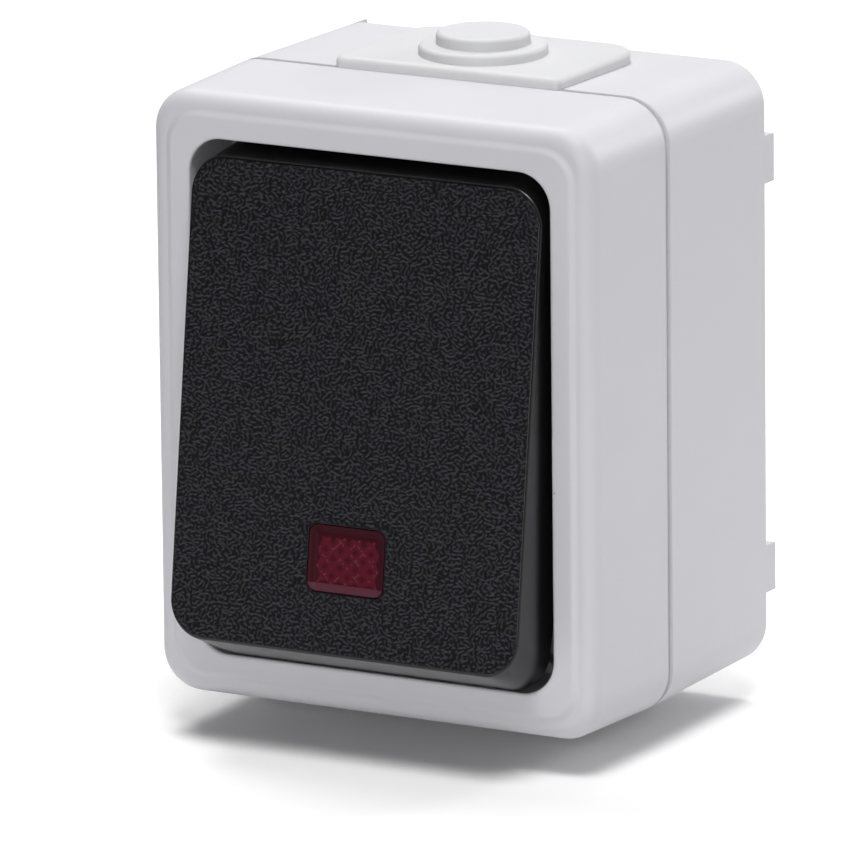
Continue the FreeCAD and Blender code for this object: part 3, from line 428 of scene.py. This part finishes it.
def make_mesh(
    name: str,
    points: np.ndarray,
    faces: np.ndarray,
    material: bpy.types.Material,
) -> bpy.types.Object:
    """Puts computed points and four-sided faces into a smooth mesh object.

    Args:
        name: the piece's name.
        points: an array of n by 3 places, in metres in the frame.
        faces: an array of m by 4 point numbers.
        material: the piece's finish.

    Returns:
        The new object, linked to the scene.
    """
    mesh = bpy.data.meshes.new(name)
    mesh.from_pydata(points.tolist(), [], faces.tolist())
    mesh.validate()
    mesh.polygons.foreach_set("use_smooth", np.ones(len(mesh.polygons), bool))
    mesh.materials.append(material)
    piece = bpy.data.objects.new(name, mesh)
    bpy.context.scene.collection.objects.link(piece)
    return piece


def grid_faces(rows: int, columns: int) -> np.ndarray:
    """Four-sided faces of a grid of points numbered row by row.

    Args:
        rows: how many rows of points there are.
        columns: how many points each row has.

    Returns:
        An array of faces by 4 point numbers.
    """
    corner = (np.arange(rows - 1)[:, None] * columns + np.arange(columns - 1)[None, :]).ravel()
    return np.stack([corner, corner + 1, corner + columns + 1, corner + columns], 1)


def rounded_distance(
    x: np.ndarray, y: np.ndarray, half_width: float, half_height: float, corner: float
) -> np.ndarray:
    """Distance from a rounded rectangle's edge, positive inside it.

    The rectangle is shrunk by its corner radius. Outside the shrunk one, the
    distance is the corner radius minus the distance to the shrunk one. Inside, it
    is the corner radius plus the distance to the nearest side of the shrunk one.

    Args:
        x: distance of each point to the right of the middle.
        y: distance of each point above the middle.
        half_width: half of the rectangle's width.
        half_height: half of the rectangle's height.
        corner: the corner radius.

    Returns:
        The distance at each point.
    """
    dx = np.abs(x) - (half_width - corner)
    dy = np.abs(y) - (half_height - corner)
    outside = np.hypot(np.maximum(dx, 0), np.maximum(dy, 0))
    return corner - outside - np.minimum(np.maximum(dx, dy), 0)


def smooth_step(value: np.ndarray) -> np.ndarray:
    """Eases from 0 to 1 as 3t squared minus 2t cubed."""
    t = np.clip(value, 0.0, 1.0)
    return t * t * (3.0 - 2.0 * t)


@dataclass(frozen=True)
class PhotoCamera:
    """The camera of the photograph: a long lens, right of the front and a little above it.

    Angles are in degrees and lengths in metres, with the lens and its sensor in
    millimetres. The camera looks at the target from its distance, and then moves to
    its left by aside and down by above, which shifts the picture.
    """

    yaw: float = 29.1983
    pitch: float = 13.7424
    roll: float = -0.6129
    distance: float = 1.553829
    lens: float = 502.785
    sensor: float = 36.0
    nearest: float = 0.05
    farthest: float = 30.0
    target: tuple[float, float, float] = (0.0, -0.0236, 0.0)
    aside: float = 0.0045637
    above: float = 0.0077853

    def axes(self) -> tuple[Vector, Vector, Vector]:
        """Works out the camera's right, up and backward directions.

        Returns:
            Three unit vectors in the frame.
        """
        yaw, pitch, roll = (math.radians(angle) for angle in (self.yaw, self.pitch, self.roll))
        back = Vector((
            math.sin(yaw) * math.cos(pitch), -math.cos(yaw) * math.cos(pitch), math.sin(pitch)))
        right = Vector((math.cos(yaw), math.sin(yaw), 0.0))
        up = back.cross(right)
        turned_right = math.cos(roll) * right + math.sin(roll) * up
        turned_up = math.cos(roll) * up - math.sin(roll) * right
        return turned_right, turned_up, back

    def build(self) -> None:
        """Makes the camera and gives it to the scene."""
        right, up, back = self.axes()
        place = Vector(self.target) + self.distance * back - self.aside * right - self.above * up
        data = bpy.data.cameras.new("photo_camera")
        data.sensor_width = self.sensor
        data.lens = self.lens
        data.clip_start = self.nearest
        data.clip_end = self.farthest
        camera = bpy.data.objects.new("photo_camera", data)
        turn = Matrix((right, up, back)).transposed().to_4x4()
        camera.matrix_world = Matrix.Translation(place) @ turn
        bpy.context.scene.collection.objects.link(camera)
        bpy.context.scene.camera = camera


@dataclass(frozen=True)
class Softbox:
    """A square studio lamp with a diffuser, aimed at the middle of the switch.

    Its place and size are in metres and its power in watts.
    """

    name: str
    place: tuple[float, float, float]
    size: float
    power: float
    aim: tuple[float, float, float] = (0.0, -0.025, 0.0)

    def build(self) -> None:
        """Makes the lamp."""
        data = bpy.data.lights.new(self.name, "AREA")
        data.shape = "SQUARE"
        data.size = self.size
        data.energy = self.power
        lamp = bpy.data.objects.new(self.name, data)
        lamp.location = self.place
        direction = Vector(self.aim) - Vector(self.place)
        lamp.rotation_euler = direction.to_track_quat("-Z", "Y").to_euler()
        bpy.context.scene.collection.objects.link(lamp)


@dataclass
class Studio:
    """White sweep, soft lamps, a light tent open to the front, and the photograph's camera.

    Lengths are in metres.
    """

    sweep_side: float = 3.0
    sweep_back: float = 4.0
    sweep_front: float = -0.26
    sweep_lines: int = 9
    floor_z: float = -0.04443
    floor_colour: str = "#E6E6E6"
    floor_lift: str = "#969696"
    white: str = "#FFFFFF"
    fade_start: float = 0.3
    fade_end: float = 0.7
    ambient: float = 0.1
    tent_light: float = 0.6
    tent_side: tuple[float, float, float] = (0.25, 0.62, 0.74)
    tent_dark: float = -0.35
    tent_full: float = 0.55
    lamps: tuple[Softbox, ...] = (
        Softbox("overhead_softbox", (0.3, -0.5, 1.3), 0.6, 13.2),
        Softbox("upper_left_softbox", (-0.45, 0.3, 1.1), 0.45, 6.8),
        Softbox("rear_softbox", (0.1, 0.9, 1.0), 0.6, 1.8),
        Softbox("right_rear_softbox", (0.9, 1.4, 0.5), 0.35, 8.8),
        Softbox("front_softbox", (0.5, -1.9, 0.3), 0.8, 11.2),
    )

    def floor_material(self) -> bpy.types.Material:
        """Makes the white paper of the sweep.

        Light Path shows the camera, and mirror and glass rays, a whiter paper, so
        the lit paper is plain white and keeps the switch's shadow. Far from the
        switch, out of reach of the lamps, they see it go over to plain white.

        Returns:
            The new material.
        """
        material, tree = new_material("white_paper_sweep")
        plain = add_node(
            tree, "ShaderNodeBsdfDiffuse", {"Color": linear(self.floor_colour)}).outputs["BSDF"]
        lift = add_node(
            tree, "ShaderNodeBsdfDiffuse", {"Color": linear(self.floor_lift)}).outputs["BSDF"]
        whiter = add_node(tree, "ShaderNodeAddShader", links={0: plain, 1: lift}).outputs[0]
        path = add_node(tree, "ShaderNodeLightPath")
        seen = add_node(
            tree, "ShaderNodeMath", {"operation": "MAXIMUM"},
            {0: path.outputs[Ray.CAMERA.value], 1: path.outputs[Ray.MIRROR.value]})
        shown = add_node(
            tree, "ShaderNodeMath", {"operation": "MAXIMUM"},
            {0: seen.outputs[0], 1: path.outputs[Ray.GLASS.value]})
        place = add_node(tree, "ShaderNodeTexCoord").outputs[Space.OBJECT.value]
        reach = add_node(
            tree, "ShaderNodeVectorMath", {"operation": "LENGTH"}, {0: place}).outputs["Value"]
        far = add_node(
            tree, "ShaderNodeMapRange",
            {"interpolation_type": "SMOOTHSTEP", "From Min": self.fade_start,
             "From Max": self.fade_end},
            {"Value": reach})
        glow = add_node(tree, "ShaderNodeEmission", {"Color": linear(self.white)}).outputs[0]
        faded = add_node(
            tree, "ShaderNodeMixShader", links={0: far.outputs["Result"], 1: whiter, 2: glow})
        mixed = add_node(
            tree, "ShaderNodeMixShader",
            links={0: shown.outputs[0], 1: plain, 2: faded.outputs[0]})
        surface_output(tree, mixed.outputs[0])
        return material

    def floor(self) -> None:
        """Makes the flat sweep under the switch, which ends a little in front of it."""
        across = np.linspace(-self.sweep_side, self.sweep_side, self.sweep_lines)
        along = np.linspace(self.sweep_front, self.sweep_back, self.sweep_lines)
        x, y = np.meshgrid(across, along)
        points = np.stack([x.ravel(), y.ravel(), np.full(x.size, self.floor_z)], 1)
        faces = grid_faces(self.sweep_lines, self.sweep_lines)
        make_mesh("paper_sweep", points, faces, self.floor_material())

    def world(self) -> None:
        """Makes the light tent, and plain white where the world is seen.

        The tent is white above, beside and behind, and fades to the dark room at
        the front, where it is open. Its level is how far a direction points to the
        tent's side, which is up, back and a little right, eased from 0 to 1. Mirror
        rays see it bright, and the soft light that it gives is weaker.
        """
        world = bpy.data.worlds.new("light_tent")
        world.use_nodes = True
        tree = world.node_tree
        tree.nodes.clear()
        direction = add_node(tree, "ShaderNodeTexCoord").outputs[Space.DIRECTION.value]
        slope = add_node(
            tree, "ShaderNodeVectorMath", {"operation": "DOT_PRODUCT", 1: self.tent_side},
            {0: direction}).outputs["Value"]
        tent = add_node(
            tree, "ShaderNodeMapRange",
            {"interpolation_type": "SMOOTHSTEP", "From Min": self.tent_dark,
             "From Max": self.tent_full},
            {"Value": slope})
        path = add_node(tree, "ShaderNodeLightPath")
        share = add_node(
            tree, "ShaderNodeMapRange", {"To Min": self.ambient, "To Max": self.tent_light},
            {"Value": path.outputs[Ray.MIRROR.value]})
        glow = add_node(
            tree, "ShaderNodeMath", {"operation": "MULTIPLY"},
            {0: tent.outputs["Result"], 1: share.outputs["Result"]})
        seen = add_node(
            tree, "ShaderNodeMath", {"operation": "MAXIMUM"},
            {0: path.outputs[Ray.CAMERA.value], 1: path.outputs[Ray.GLASS.value]})
        level = add_node(
            tree, "ShaderNodeMath", {"operation": "MAXIMUM"},
            {0: glow.outputs[0], 1: seen.outputs[0]})
        sky = add_node(
            tree, "ShaderNodeBackground", {"Color": linear(self.white)},
            {"Strength": level.outputs[0]})
        add_node(tree, "ShaderNodeOutputWorld", links={"Surface": sky.outputs[0]})
        bpy.context.scene.world = world

    def build(self) -> None:
        """Makes the whole studio."""
        PhotoCamera().build()
        self.floor()
        self.world()
        for lamp in self.lamps:
            lamp.build()
        bpy.context.scene.view_settings.view_transform = "Standard"
        LOG.info("studio: camera, sweep and %d lamps", len(self.lamps))


def dress(finishes: dict[bpy.types.Material, tuple[str, ...]]) -> None:
    """Gives CAD nodes their finishes, and reports each node.

    Args:
        finishes: each finish with the names of the nodes that get it.
    """
    for material, nodes in finishes.items():
        for node in nodes:
            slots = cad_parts[node].data.materials
            slots.clear()
            slots.append(material)
            LOG.info("%s: %s", node, material.name)


@dataclass
class Housing:
    """Back box, front cover, seals and the two cable glands."""

    body_colour: str = "#D3D2D7"
    body_dark: str = "#CECDD2"
    gland_colour: str = "#D3D3D5"
    gland_dark: str = "#CECED0"

    def build(self) -> None:
        """Dresses the housing."""
        shell = MouldedPlastic(
            "grey_abs_spark_texture", self.body_colour, self.body_dark, speck_share=0.012,
            edge_mm=0.6).build()
        gland = MouldedPlastic(
            "grey_tpe_smooth", self.gland_colour, self.gland_dark, roughness=0.55,
            texture_mm=0.3).build()
        rubber = MouldedPlastic(
            "black_epdm_moulded", "#1A1A1B", "#141415", roughness=0.7, texture_mm=0.4).build()
        dress({
            shell: ("back_box", "front_cover"),
            gland: ("top_gland", "bottom_gland"),
            rubber: ("housing_seal", "insert_gasket", "cover_screw_seals"),
        })


@dataclass
class Rocker:
    """Black rocker: a smooth cap with a grained face.

    Sizes are in millimetres in the face's own plane: u to the right, v up the face.
    """

    # The cap's rest tilt, its pivot and the outline of its face.
    tilt: float = 7.5
    face_to_pivot: float = 8.0
    pivot_y: float = -45.93
    half_width: float = 25.3
    half_height: float = 30.95
    corner: float = 4.8
    smooth_rim: float = 0.3

    # The window in the face that the lens shows in.
    lens_centre: float = -18.57
    lens_half_width: float = 5.6
    lens_half_height: float = 4.375
    lens_corner: float = 1.45
    lens_rim: float = 0.08

    # The skin that carries the grain, and how it ends at the rim and the window.
    strips: tuple[str, ...] = ("lower", "middle", "upper")
    spacing: float = 0.105
    skin: float = 0.01
    sunk: float = 0.03
    fade: float = 0.13

    # The ridges, which run along the zero lines of a field. The cell is the distance
    # between its crests, and softness the least steepness that it is taken to have.
    cell: float = 1.0
    lie: float = 1.2
    ring_width: float = 0.5
    ridge_width: float = 0.24
    ridge_height: float = 0.11
    softness: float = 1.2
    # How much a ridge that runs up the face is lowered, which also dims its painted highlight.
    upright_height_and_highlight_loss: float = 0.55
    ridge_seed: int = 41

    # The wear that breaks the ridges into strokes.
    wear_finer: float = 1.5
    wear_level: float = 0.5
    wear_ease: float = 1.0
    wear_seed: int = 77

    def to_frame(self, u: np.ndarray, v: np.ndarray, w: np.ndarray) -> np.ndarray:
        """Places points of the tilted face in the frame.

        A point is turned about the pivot axis by the rest tilt: its depth behind the
        pivot and its height mix by the cosine and sine of that angle.

        Args:
            u: distance to the right, in mm.
            v: distance up the face, in mm.
            w: depth behind the face, in mm.

        Returns:
            An array of n by 3 places in metres.
        """
        angle = math.radians(self.tilt)
        depth = w - self.face_to_pivot
        y = self.pivot_y + depth * math.cos(angle) + v * math.sin(angle)
        z = v * math.cos(angle) - depth * math.sin(angle)
        return np.stack([np.ravel(u), np.ravel(y), np.ravel(z)], 1) * MM

    def wandering(self, shape: tuple[int, int], pitch: float, seed: int) -> np.ndarray:
        """Makes a field whose crests wander but keep their spacing.

        White noise is kept only in a ring of spatial frequencies round one over the
        pitch. The ring is squashed, so that the crests run more across than up.

        Args:
            shape: how many rows of points the grid has, and how many in each row.
            pitch: distance between crests, in mm.
            seed: the seed of the noise.

        Returns:
            A field with a mean of 0 and a standard deviation of 1.
        """
        rows, columns = shape
        noise = np.random.default_rng(seed).standard_normal(shape)
        along = np.fft.fftfreq(rows, self.spacing)[:, None]
        across = np.fft.rfftfreq(columns, self.spacing)[None, :]
        offset = np.hypot(along, across * self.lie) * pitch - 1
        ring = np.exp(-((offset / self.ring_width) ** 2))
        field = np.fft.irfft2(np.fft.rfft2(noise) * ring, s=shape)
        return field / field.std()

    def ridges(self, shape: tuple[int, int]) -> np.ndarray:
        """Makes the grain's thin ridges, 0 in the valleys and 1 on a crest.

        A ridge runs where a wandering field is 0, and the field over its steepness
        is the distance from there. A ridge is higher where it runs across the face
        than where it runs up it, and so is the painted highlight that the height lays
        on it, standing for light from above. A second, finer field wears the ridge
        away in places, which leaves short crooked strokes.

        Args:
            shape: how many rows of points the grid has, and how many in each row.

        Returns:
            The height at each point, rows by columns.
        """
        cells = self.wandering(shape, self.cell, self.ridge_seed)
        up, across = np.gradient(cells, self.spacing)
        steepness = np.hypot(up, across)
        distance = np.abs(cells) / np.hypot(steepness, self.softness)
        line = np.maximum(1 - distance / self.ridge_width, 0)
        level = np.abs(up) / np.maximum(steepness, TINY)
        wear = self.wandering(shape, self.cell / self.wear_finer, self.wear_seed)
        kept = smooth_step((wear + self.wear_level + self.wear_ease) / (2 * self.wear_ease))
        return line * kept * (1 - self.upright_height_and_highlight_loss * (1 - level))

    def grain_face(self, material: bpy.types.Material) -> list[bpy.types.Object]:
        """Makes the grained skin, in strips one above the other, just proud of the face.

        The height is the skin's own plus the ridges'. Close to the face's rim and the
        lens it eases down until the skin is sunk into the cap.

        Args:
            material: the skin's finish.

        Returns:
            The strips, from the lowest to the uppermost.
        """
        u_side = np.arange(-self.half_width, self.half_width + self.spacing / 2, self.spacing)
        v_side = np.arange(-self.half_height, self.half_height + self.spacing / 2, self.spacing)
        u, v = np.meshgrid(u_side, v_side)
        rim = rounded_distance(u, v, self.half_width, self.half_height, self.corner)
        window = rounded_distance(
            u, v - self.lens_centre, self.lens_half_width, self.lens_half_height,
            self.lens_corner)
        clear = np.minimum(rim - self.smooth_rim, -(self.lens_rim + window))
        ease = smooth_step(clear / self.fade)
        ridge = self.ridges(u.shape) * ease
        height = ease * self.skin + ridge * self.ridge_height - (1 - ease) * self.sunk
        cuts = np.linspace(0, len(v_side) - 1, len(self.strips) + 1).astype(int)
        pieces = []
        for name, first, last in zip(self.strips, cuts[:-1], cuts[1:]):
            part = slice(first, last + 1)
            points = self.to_frame(u[part], v[part], -height[part])
            faces = grid_faces(*u[part].shape)
            keep = clear[part].ravel()[faces].min(1) > -self.fade
            piece = make_mesh("rocker_grain_" + name, points, faces[keep], material)
            # The grain attribute carries the ridge height, which the material turns into a painted
            # highlight.
            attribute = piece.data.attributes.new("grain", "FLOAT", "POINT")
            attribute.data.foreach_set("value", ridge[part].ravel().astype(np.float32))
            pieces.append(piece)
        return pieces

    def build(self) -> None:
        """Dresses the cap and adds its grained face."""
        smooth = MouldedPlastic(
            "black_asa_smooth", "#111112", "#0E0E0F", roughness=0.24, texture_mm=0.5,
            texture_depth_mm=0.003, shine=0.36).build()
        dress({smooth: ("rocker_cap",)})
        for skin in self.grain_face(GrainedPlastic().build()):
            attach(skin, "rocker")
            LOG.info("%s: %d faces", skin.name, len(skin.data.polygons))


@dataclass
class IndicatorLens:
    """Red lens with a dished front and a field of small pyramids on its back.

    Sizes are in millimetres. Its own plane is the rocker's face.
    """

    # Outline and grid.
    half_width: float = 5.45
    half_height: float = 4.225
    corner: float = 1.3
    columns: int = 161
    rows: int = 127
    sharp_degrees: float = 32.0

    # Front.
    land: float = 0.08
    bevel: float = 0.95
    dish: float = 0.5

    # Back, and the flange round it.
    back_depth: float = 2.85
    flange_depth: float = 2.05
    flange: float = 0.9
    pyramid_pitch: float = 1.55
    pyramid_depth: float = 0.75
    plain_border: float = 0.9
    border_ease: float = 0.2

    # The field that sends light back, and how dark the painted shade on the pyramids' tips is in
    # it.
    tip: float = 0.3
    tip_light: float = 0.3
    field_side: float = 1.55
    field_top: float = 0.45
    field_ease: float = 0.16
    top_start: float = 1.2
    top_run: float = 1.0
    zigzag: float = 0.55

    # The painted glints of the prism edges and the painted highlight of the lower bevel.
    # A stroke cell is the width in grid points of the noise that breaks the edges up.
    edge: float = 0.05
    stroke_cell: int = 5
    stroke_seed: int = 5
    stroke_start: float = 0.3
    stroke_run: float = 0.7
    lower_bevel: float = 1.08
    lower_ease: float = 0.2
    lower_glow: float = 0.45

    def outline_grid(self) -> tuple[np.ndarray, np.ndarray]:
        """Lays a grid over the lens and pulls its corners in to the round outline.

        A point further from a corner's centre than the corner radius moves straight
        towards that centre until it is on the arc.

        Returns:
            Two arrays, rows by columns, of x and y.
        """
        x, y = np.meshgrid(
            np.linspace(-self.half_width, self.half_width, self.columns),
            np.linspace(-self.half_height, self.half_height, self.rows))
        centre_x = np.sign(x) * (self.half_width - self.corner)
        centre_y = np.sign(y) * (self.half_height - self.corner)
        dx = x - centre_x
        dy = y - centre_y
        in_corner = (np.abs(x) > np.abs(centre_x)) & (np.abs(y) > np.abs(centre_y))
        reach = np.maximum(np.hypot(dx, dy), TINY)
        shrink = np.where(in_corner, np.minimum(1.0, self.corner / reach), 1.0)
        return centre_x + dx * shrink, centre_y + dy * shrink

    def inside(self, x: np.ndarray, y: np.ndarray) -> np.ndarray:
        """Distance from the lens's outline, positive inside it."""
        return rounded_distance(x, y, self.half_width, self.half_height, self.corner)

    def front(self, x: np.ndarray, y: np.ndarray) -> np.ndarray:
        """Depth of the dished front: a flat land, an eased bevel and a flat field."""
        return self.dish * smooth_step((self.inside(x, y) - self.land) / self.bevel)

    def lattice(self, x: np.ndarray, y: np.ndarray) -> tuple[np.ndarray, np.ndarray]:
        """Shares of the way from a pyramid's middle to its grooves, in each diagonal family.

        The distance along a diagonal is counted in pitches, and its share is the
        distance to the nearest whole number.

        Args:
            x: distance of each point to the right of the middle.
            y: distance of each point above the middle.

        Returns:
            Two arrays, each from 0 in the middle of a pyramid to 0.5 at a groove.
        """
        first = np.abs(((x + y) / math.sqrt(2) / self.pyramid_pitch + 0.5) % 1.0 - 0.5)
        second = np.abs(((x - y) / math.sqrt(2) / self.pyramid_pitch + 0.5) % 1.0 - 0.5)
        return first, second

    def back(self, x: np.ndarray, y: np.ndarray) -> np.ndarray:
        """Depth of the back: four-sided pyramids between two families of diagonal grooves.

        Args:
            x: distance of each point to the right of the middle.
            y: distance of each point above the middle.

        Returns:
            The depth at each point.
        """
        peak = 1.0 - 2.0 * np.maximum(*self.lattice(x, y))
        field = smooth_step((self.inside(x, y) - self.plain_border) / self.border_ease)
        return self.back_depth - self.pyramid_depth * peak * field

    def returned_light(self, x: np.ndarray, y: np.ndarray) -> tuple[np.ndarray, np.ndarray]:
        """Works out the painted light that the prisms send back, and their edges' painted glints.

        Light comes back from the pyramids' flanks. It drops near their tips, a painted
        shade, and is 0 outside the field, whose border follows the grooves. An edge
        glints close to a groove, in strokes that seeded noise breaks off. The lower
        bevel faces up to the lamps, and gets a little painted highlight.

        Args:
            x: distance of each point to the right of the middle.
            y: distance of each point above the middle.

        Returns:
            Two arrays, rows by columns, from 0 to 1.
        """
        nearest = np.maximum(*self.lattice(x, y))
        groove = 0.5 - nearest
        top = self.field_top * smooth_step((y - self.top_start) / self.top_run)
        side = self.field_side + top - self.zigzag * (1 - 2 * groove)
        field = smooth_step((self.inside(x, y) - side) / self.field_ease + 0.5)
        # Painted shade near the pyramids' tips.
        tip = smooth_step((nearest * 2 - self.tip) / self.tip)
        flank = self.tip_light + (1 - self.tip_light) * tip
        line = smooth_step(1 - groove / self.edge)
        broken = smooth_step((self.strokes() - self.stroke_start) / self.stroke_run)
        # Painted highlight on the lower bevel.
        bevel = smooth_step((-y - self.half_height + self.lower_bevel) / self.lower_ease)
        lower = self.lower_glow * bevel * (1 - field)
        return field * flank, np.maximum(line * broken * field, lower)

    def strokes(self) -> np.ndarray:
        """Makes blocks of seeded noise, each a stroke cell wide and high.

        Returns:
            An array of rows by columns.
        """
        cell = self.stroke_cell
        generator = np.random.default_rng(self.stroke_seed)
        noise = generator.standard_normal((self.rows // cell + 2, self.columns // cell + 2))
        return np.kron(noise, np.ones((cell, cell)))[:self.rows, :self.columns]

    def rim(self, x: np.ndarray, y: np.ndarray) -> tuple[np.ndarray, np.ndarray]:
        """Reads the border points of the grid in order, with their outward directions.

        A border point's direction is that from the outline shrunk by its corner
        radius.

        Args:
            x: distance of each point to the right of the middle.
            y: distance of each point above the middle.

        Returns:
            Point numbers round the border, and the unit normals there.
        """
        number = np.arange(x.size).reshape(x.shape)
        loop = np.concatenate([
            number[0, :-1], number[:-1, -1], number[-1, :0:-1], number[:0:-1, 0]])
        rim_x, rim_y = x.ravel()[loop], y.ravel()[loop]
        out_x = np.sign(rim_x) * np.maximum(np.abs(rim_x) - (self.half_width - self.corner), 0)
        out_y = np.sign(rim_y) * np.maximum(np.abs(rim_y) - (self.half_height - self.corner), 0)
        length = np.maximum(np.hypot(out_x, out_y), TINY)
        return loop, np.stack([out_x / length, out_y / length], 1)

    def shell(self, x: np.ndarray, y: np.ndarray) -> tuple[list[np.ndarray], np.ndarray]:
        """Closes the front and the back with a side wall and a flange.

        The rim of the front is carried down to the flange, out, and down to the
        level of the back, and the last ring joins the rim of the back.

        Args:
            x: distance of each point to the right of the middle.
            y: distance of each point above the middle.

        Returns:
            The points' x, y and depth, and an array of faces by 4 point numbers.
        """
        size = x.size
        loop, normal = self.rim(x, y)
        count = len(loop)
        steps = (
            (0.0, self.flange_depth), (self.flange, self.flange_depth),
            (self.flange, self.back_depth))
        across, upward = [x.ravel(), x.ravel()], [y.ravel(), y.ravel()]
        depths = [self.front(x, y).ravel(), self.back(x, y).ravel()]
        for out, depth in steps:
            across.append(x.ravel()[loop] + out * normal[:, 0])
            upward.append(y.ravel()[loop] + out * normal[:, 1])
            depths.append(np.full(count, depth))
        rings = [loop] + [2 * size + k * count + np.arange(count) for k in range(len(steps))]
        rings.append(loop + size)
        front_faces = grid_faces(self.rows, self.columns)
        parts = [front_faces, front_faces[:, ::-1] + size]
        for first, second in zip(rings[:-1], rings[1:]):
            parts.append(np.stack([first, second, np.roll(second, -1), np.roll(first, -1)], 1))
        return [np.concatenate(side) for side in (across, upward, depths)], np.concatenate(parts)

    def build(self, rocker: Rocker) -> None:
        """Makes the lens and sets it in the rocker.

        Args:
            rocker: the rocker whose face the lens lies in.
        """
        x, y = self.outline_grid()
        (across, upward, depth), faces = self.shell(x, y)
        points = rocker.to_frame(across, upward + rocker.lens_centre, depth)
        piece = make_mesh("lens_prismatic", points, faces, TintedLens().build())
        for name, shares in zip(("sent_back", "painted_glints"), self.returned_light(x, y)):
            values = np.zeros(len(points), np.float32)
            values[:x.size] = shares.ravel()
            piece.data.attributes.new(name, "FLOAT", "POINT").data.foreach_set("value", values)
        piece.data.set_sharp_from_angle(angle=math.radians(self.sharp_degrees))
        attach(piece, "rocker")
        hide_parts("indicator_lens")
        LOG.info("%s: %d faces", piece.name, len(faces))


@dataclass
class Mechanism:
    """Everything inside the housing: lever, contacts, terminals, lamp and fasteners.

    The spring, which flattens from its seat in the lever as the plunger slides in,
    gets a mesh of its own. Its lengths are in metres.
    """

    spring_axis: tuple[float, float, float] = (0.0, -0.991445, 0.130526)
    spring_seat: tuple[float, float, float] = (0.0, -0.045438, -0.000065)
    spring_length: float = 0.005453
    plunger_travel: float = 0.0006

    def build(self) -> None:
        """Dresses the nodes of the insert."""
        white = MouldedPlastic(
            "white_urea_moulded", "#DCDAD2", "#D2D0C8", roughness=0.35, texture_mm=0.6).build()
        black = MouldedPlastic(
            "black_polyamide_moulded", "#1E1E20", "#18181A", roughness=0.45, texture_mm=0.5).build()
        copper = WorkedMetal("copper_alloy_rolled", "#C98A62", 0.32).build()
        silver = WorkedMetal("silver_rivet", "#D9D7D0", 0.25).build()
        brass = WorkedMetal("brass_stamped", "#C9A457", 0.3).build()
        steel = WorkedMetal("steel_ground", "#B4B4B2", 0.25).build()
        zinc = WorkedMetal("steel_zinc_plated", "#BFC2C6", 0.35).build()
        tin = WorkedMetal("copper_wire_tinned", "#CCCCCA", 0.35).build()
        clay = MouldedPlastic(
            "resistor_lacquer", "#B39A72", "#A98F68", roughness=0.3, texture_mm=0.8).build()
        glass = LampGlass().build()
        dress({
            white: ("switch_housing", "switch_base"),
            black: ("drive_lever", "lamp_carrier"),
            copper: ("contact_bridge", "upper_contact", "lower_contact", "pivot_terminal"),
            silver: ("moving_contact_tips", "fixed_contact_tips"),
            brass: ("terminal_clamps",),
            steel: ("detent_plunger", "plunger_spring"),
            zinc: ("terminal_screws", "insert_screws", "base_screws", "cover_screws"),
            tin: ("lamp_leads",),
            clay: ("lamp_resistor",),
            glass: ("neon_lamp",),
        })
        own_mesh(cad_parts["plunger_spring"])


def main() -> None:
    """Builds the studio and every sub-assembly, and logs what it makes."""
    logging.basicConfig(level=logging.INFO, format="%(name)s: %(message)s")
    Studio().build()
    Housing().build()
    rocker = Rocker()
    rocker.build()
    IndicatorLens().build(rocker)
    Mechanism().build()


if __name__ == "__main__":
    main()
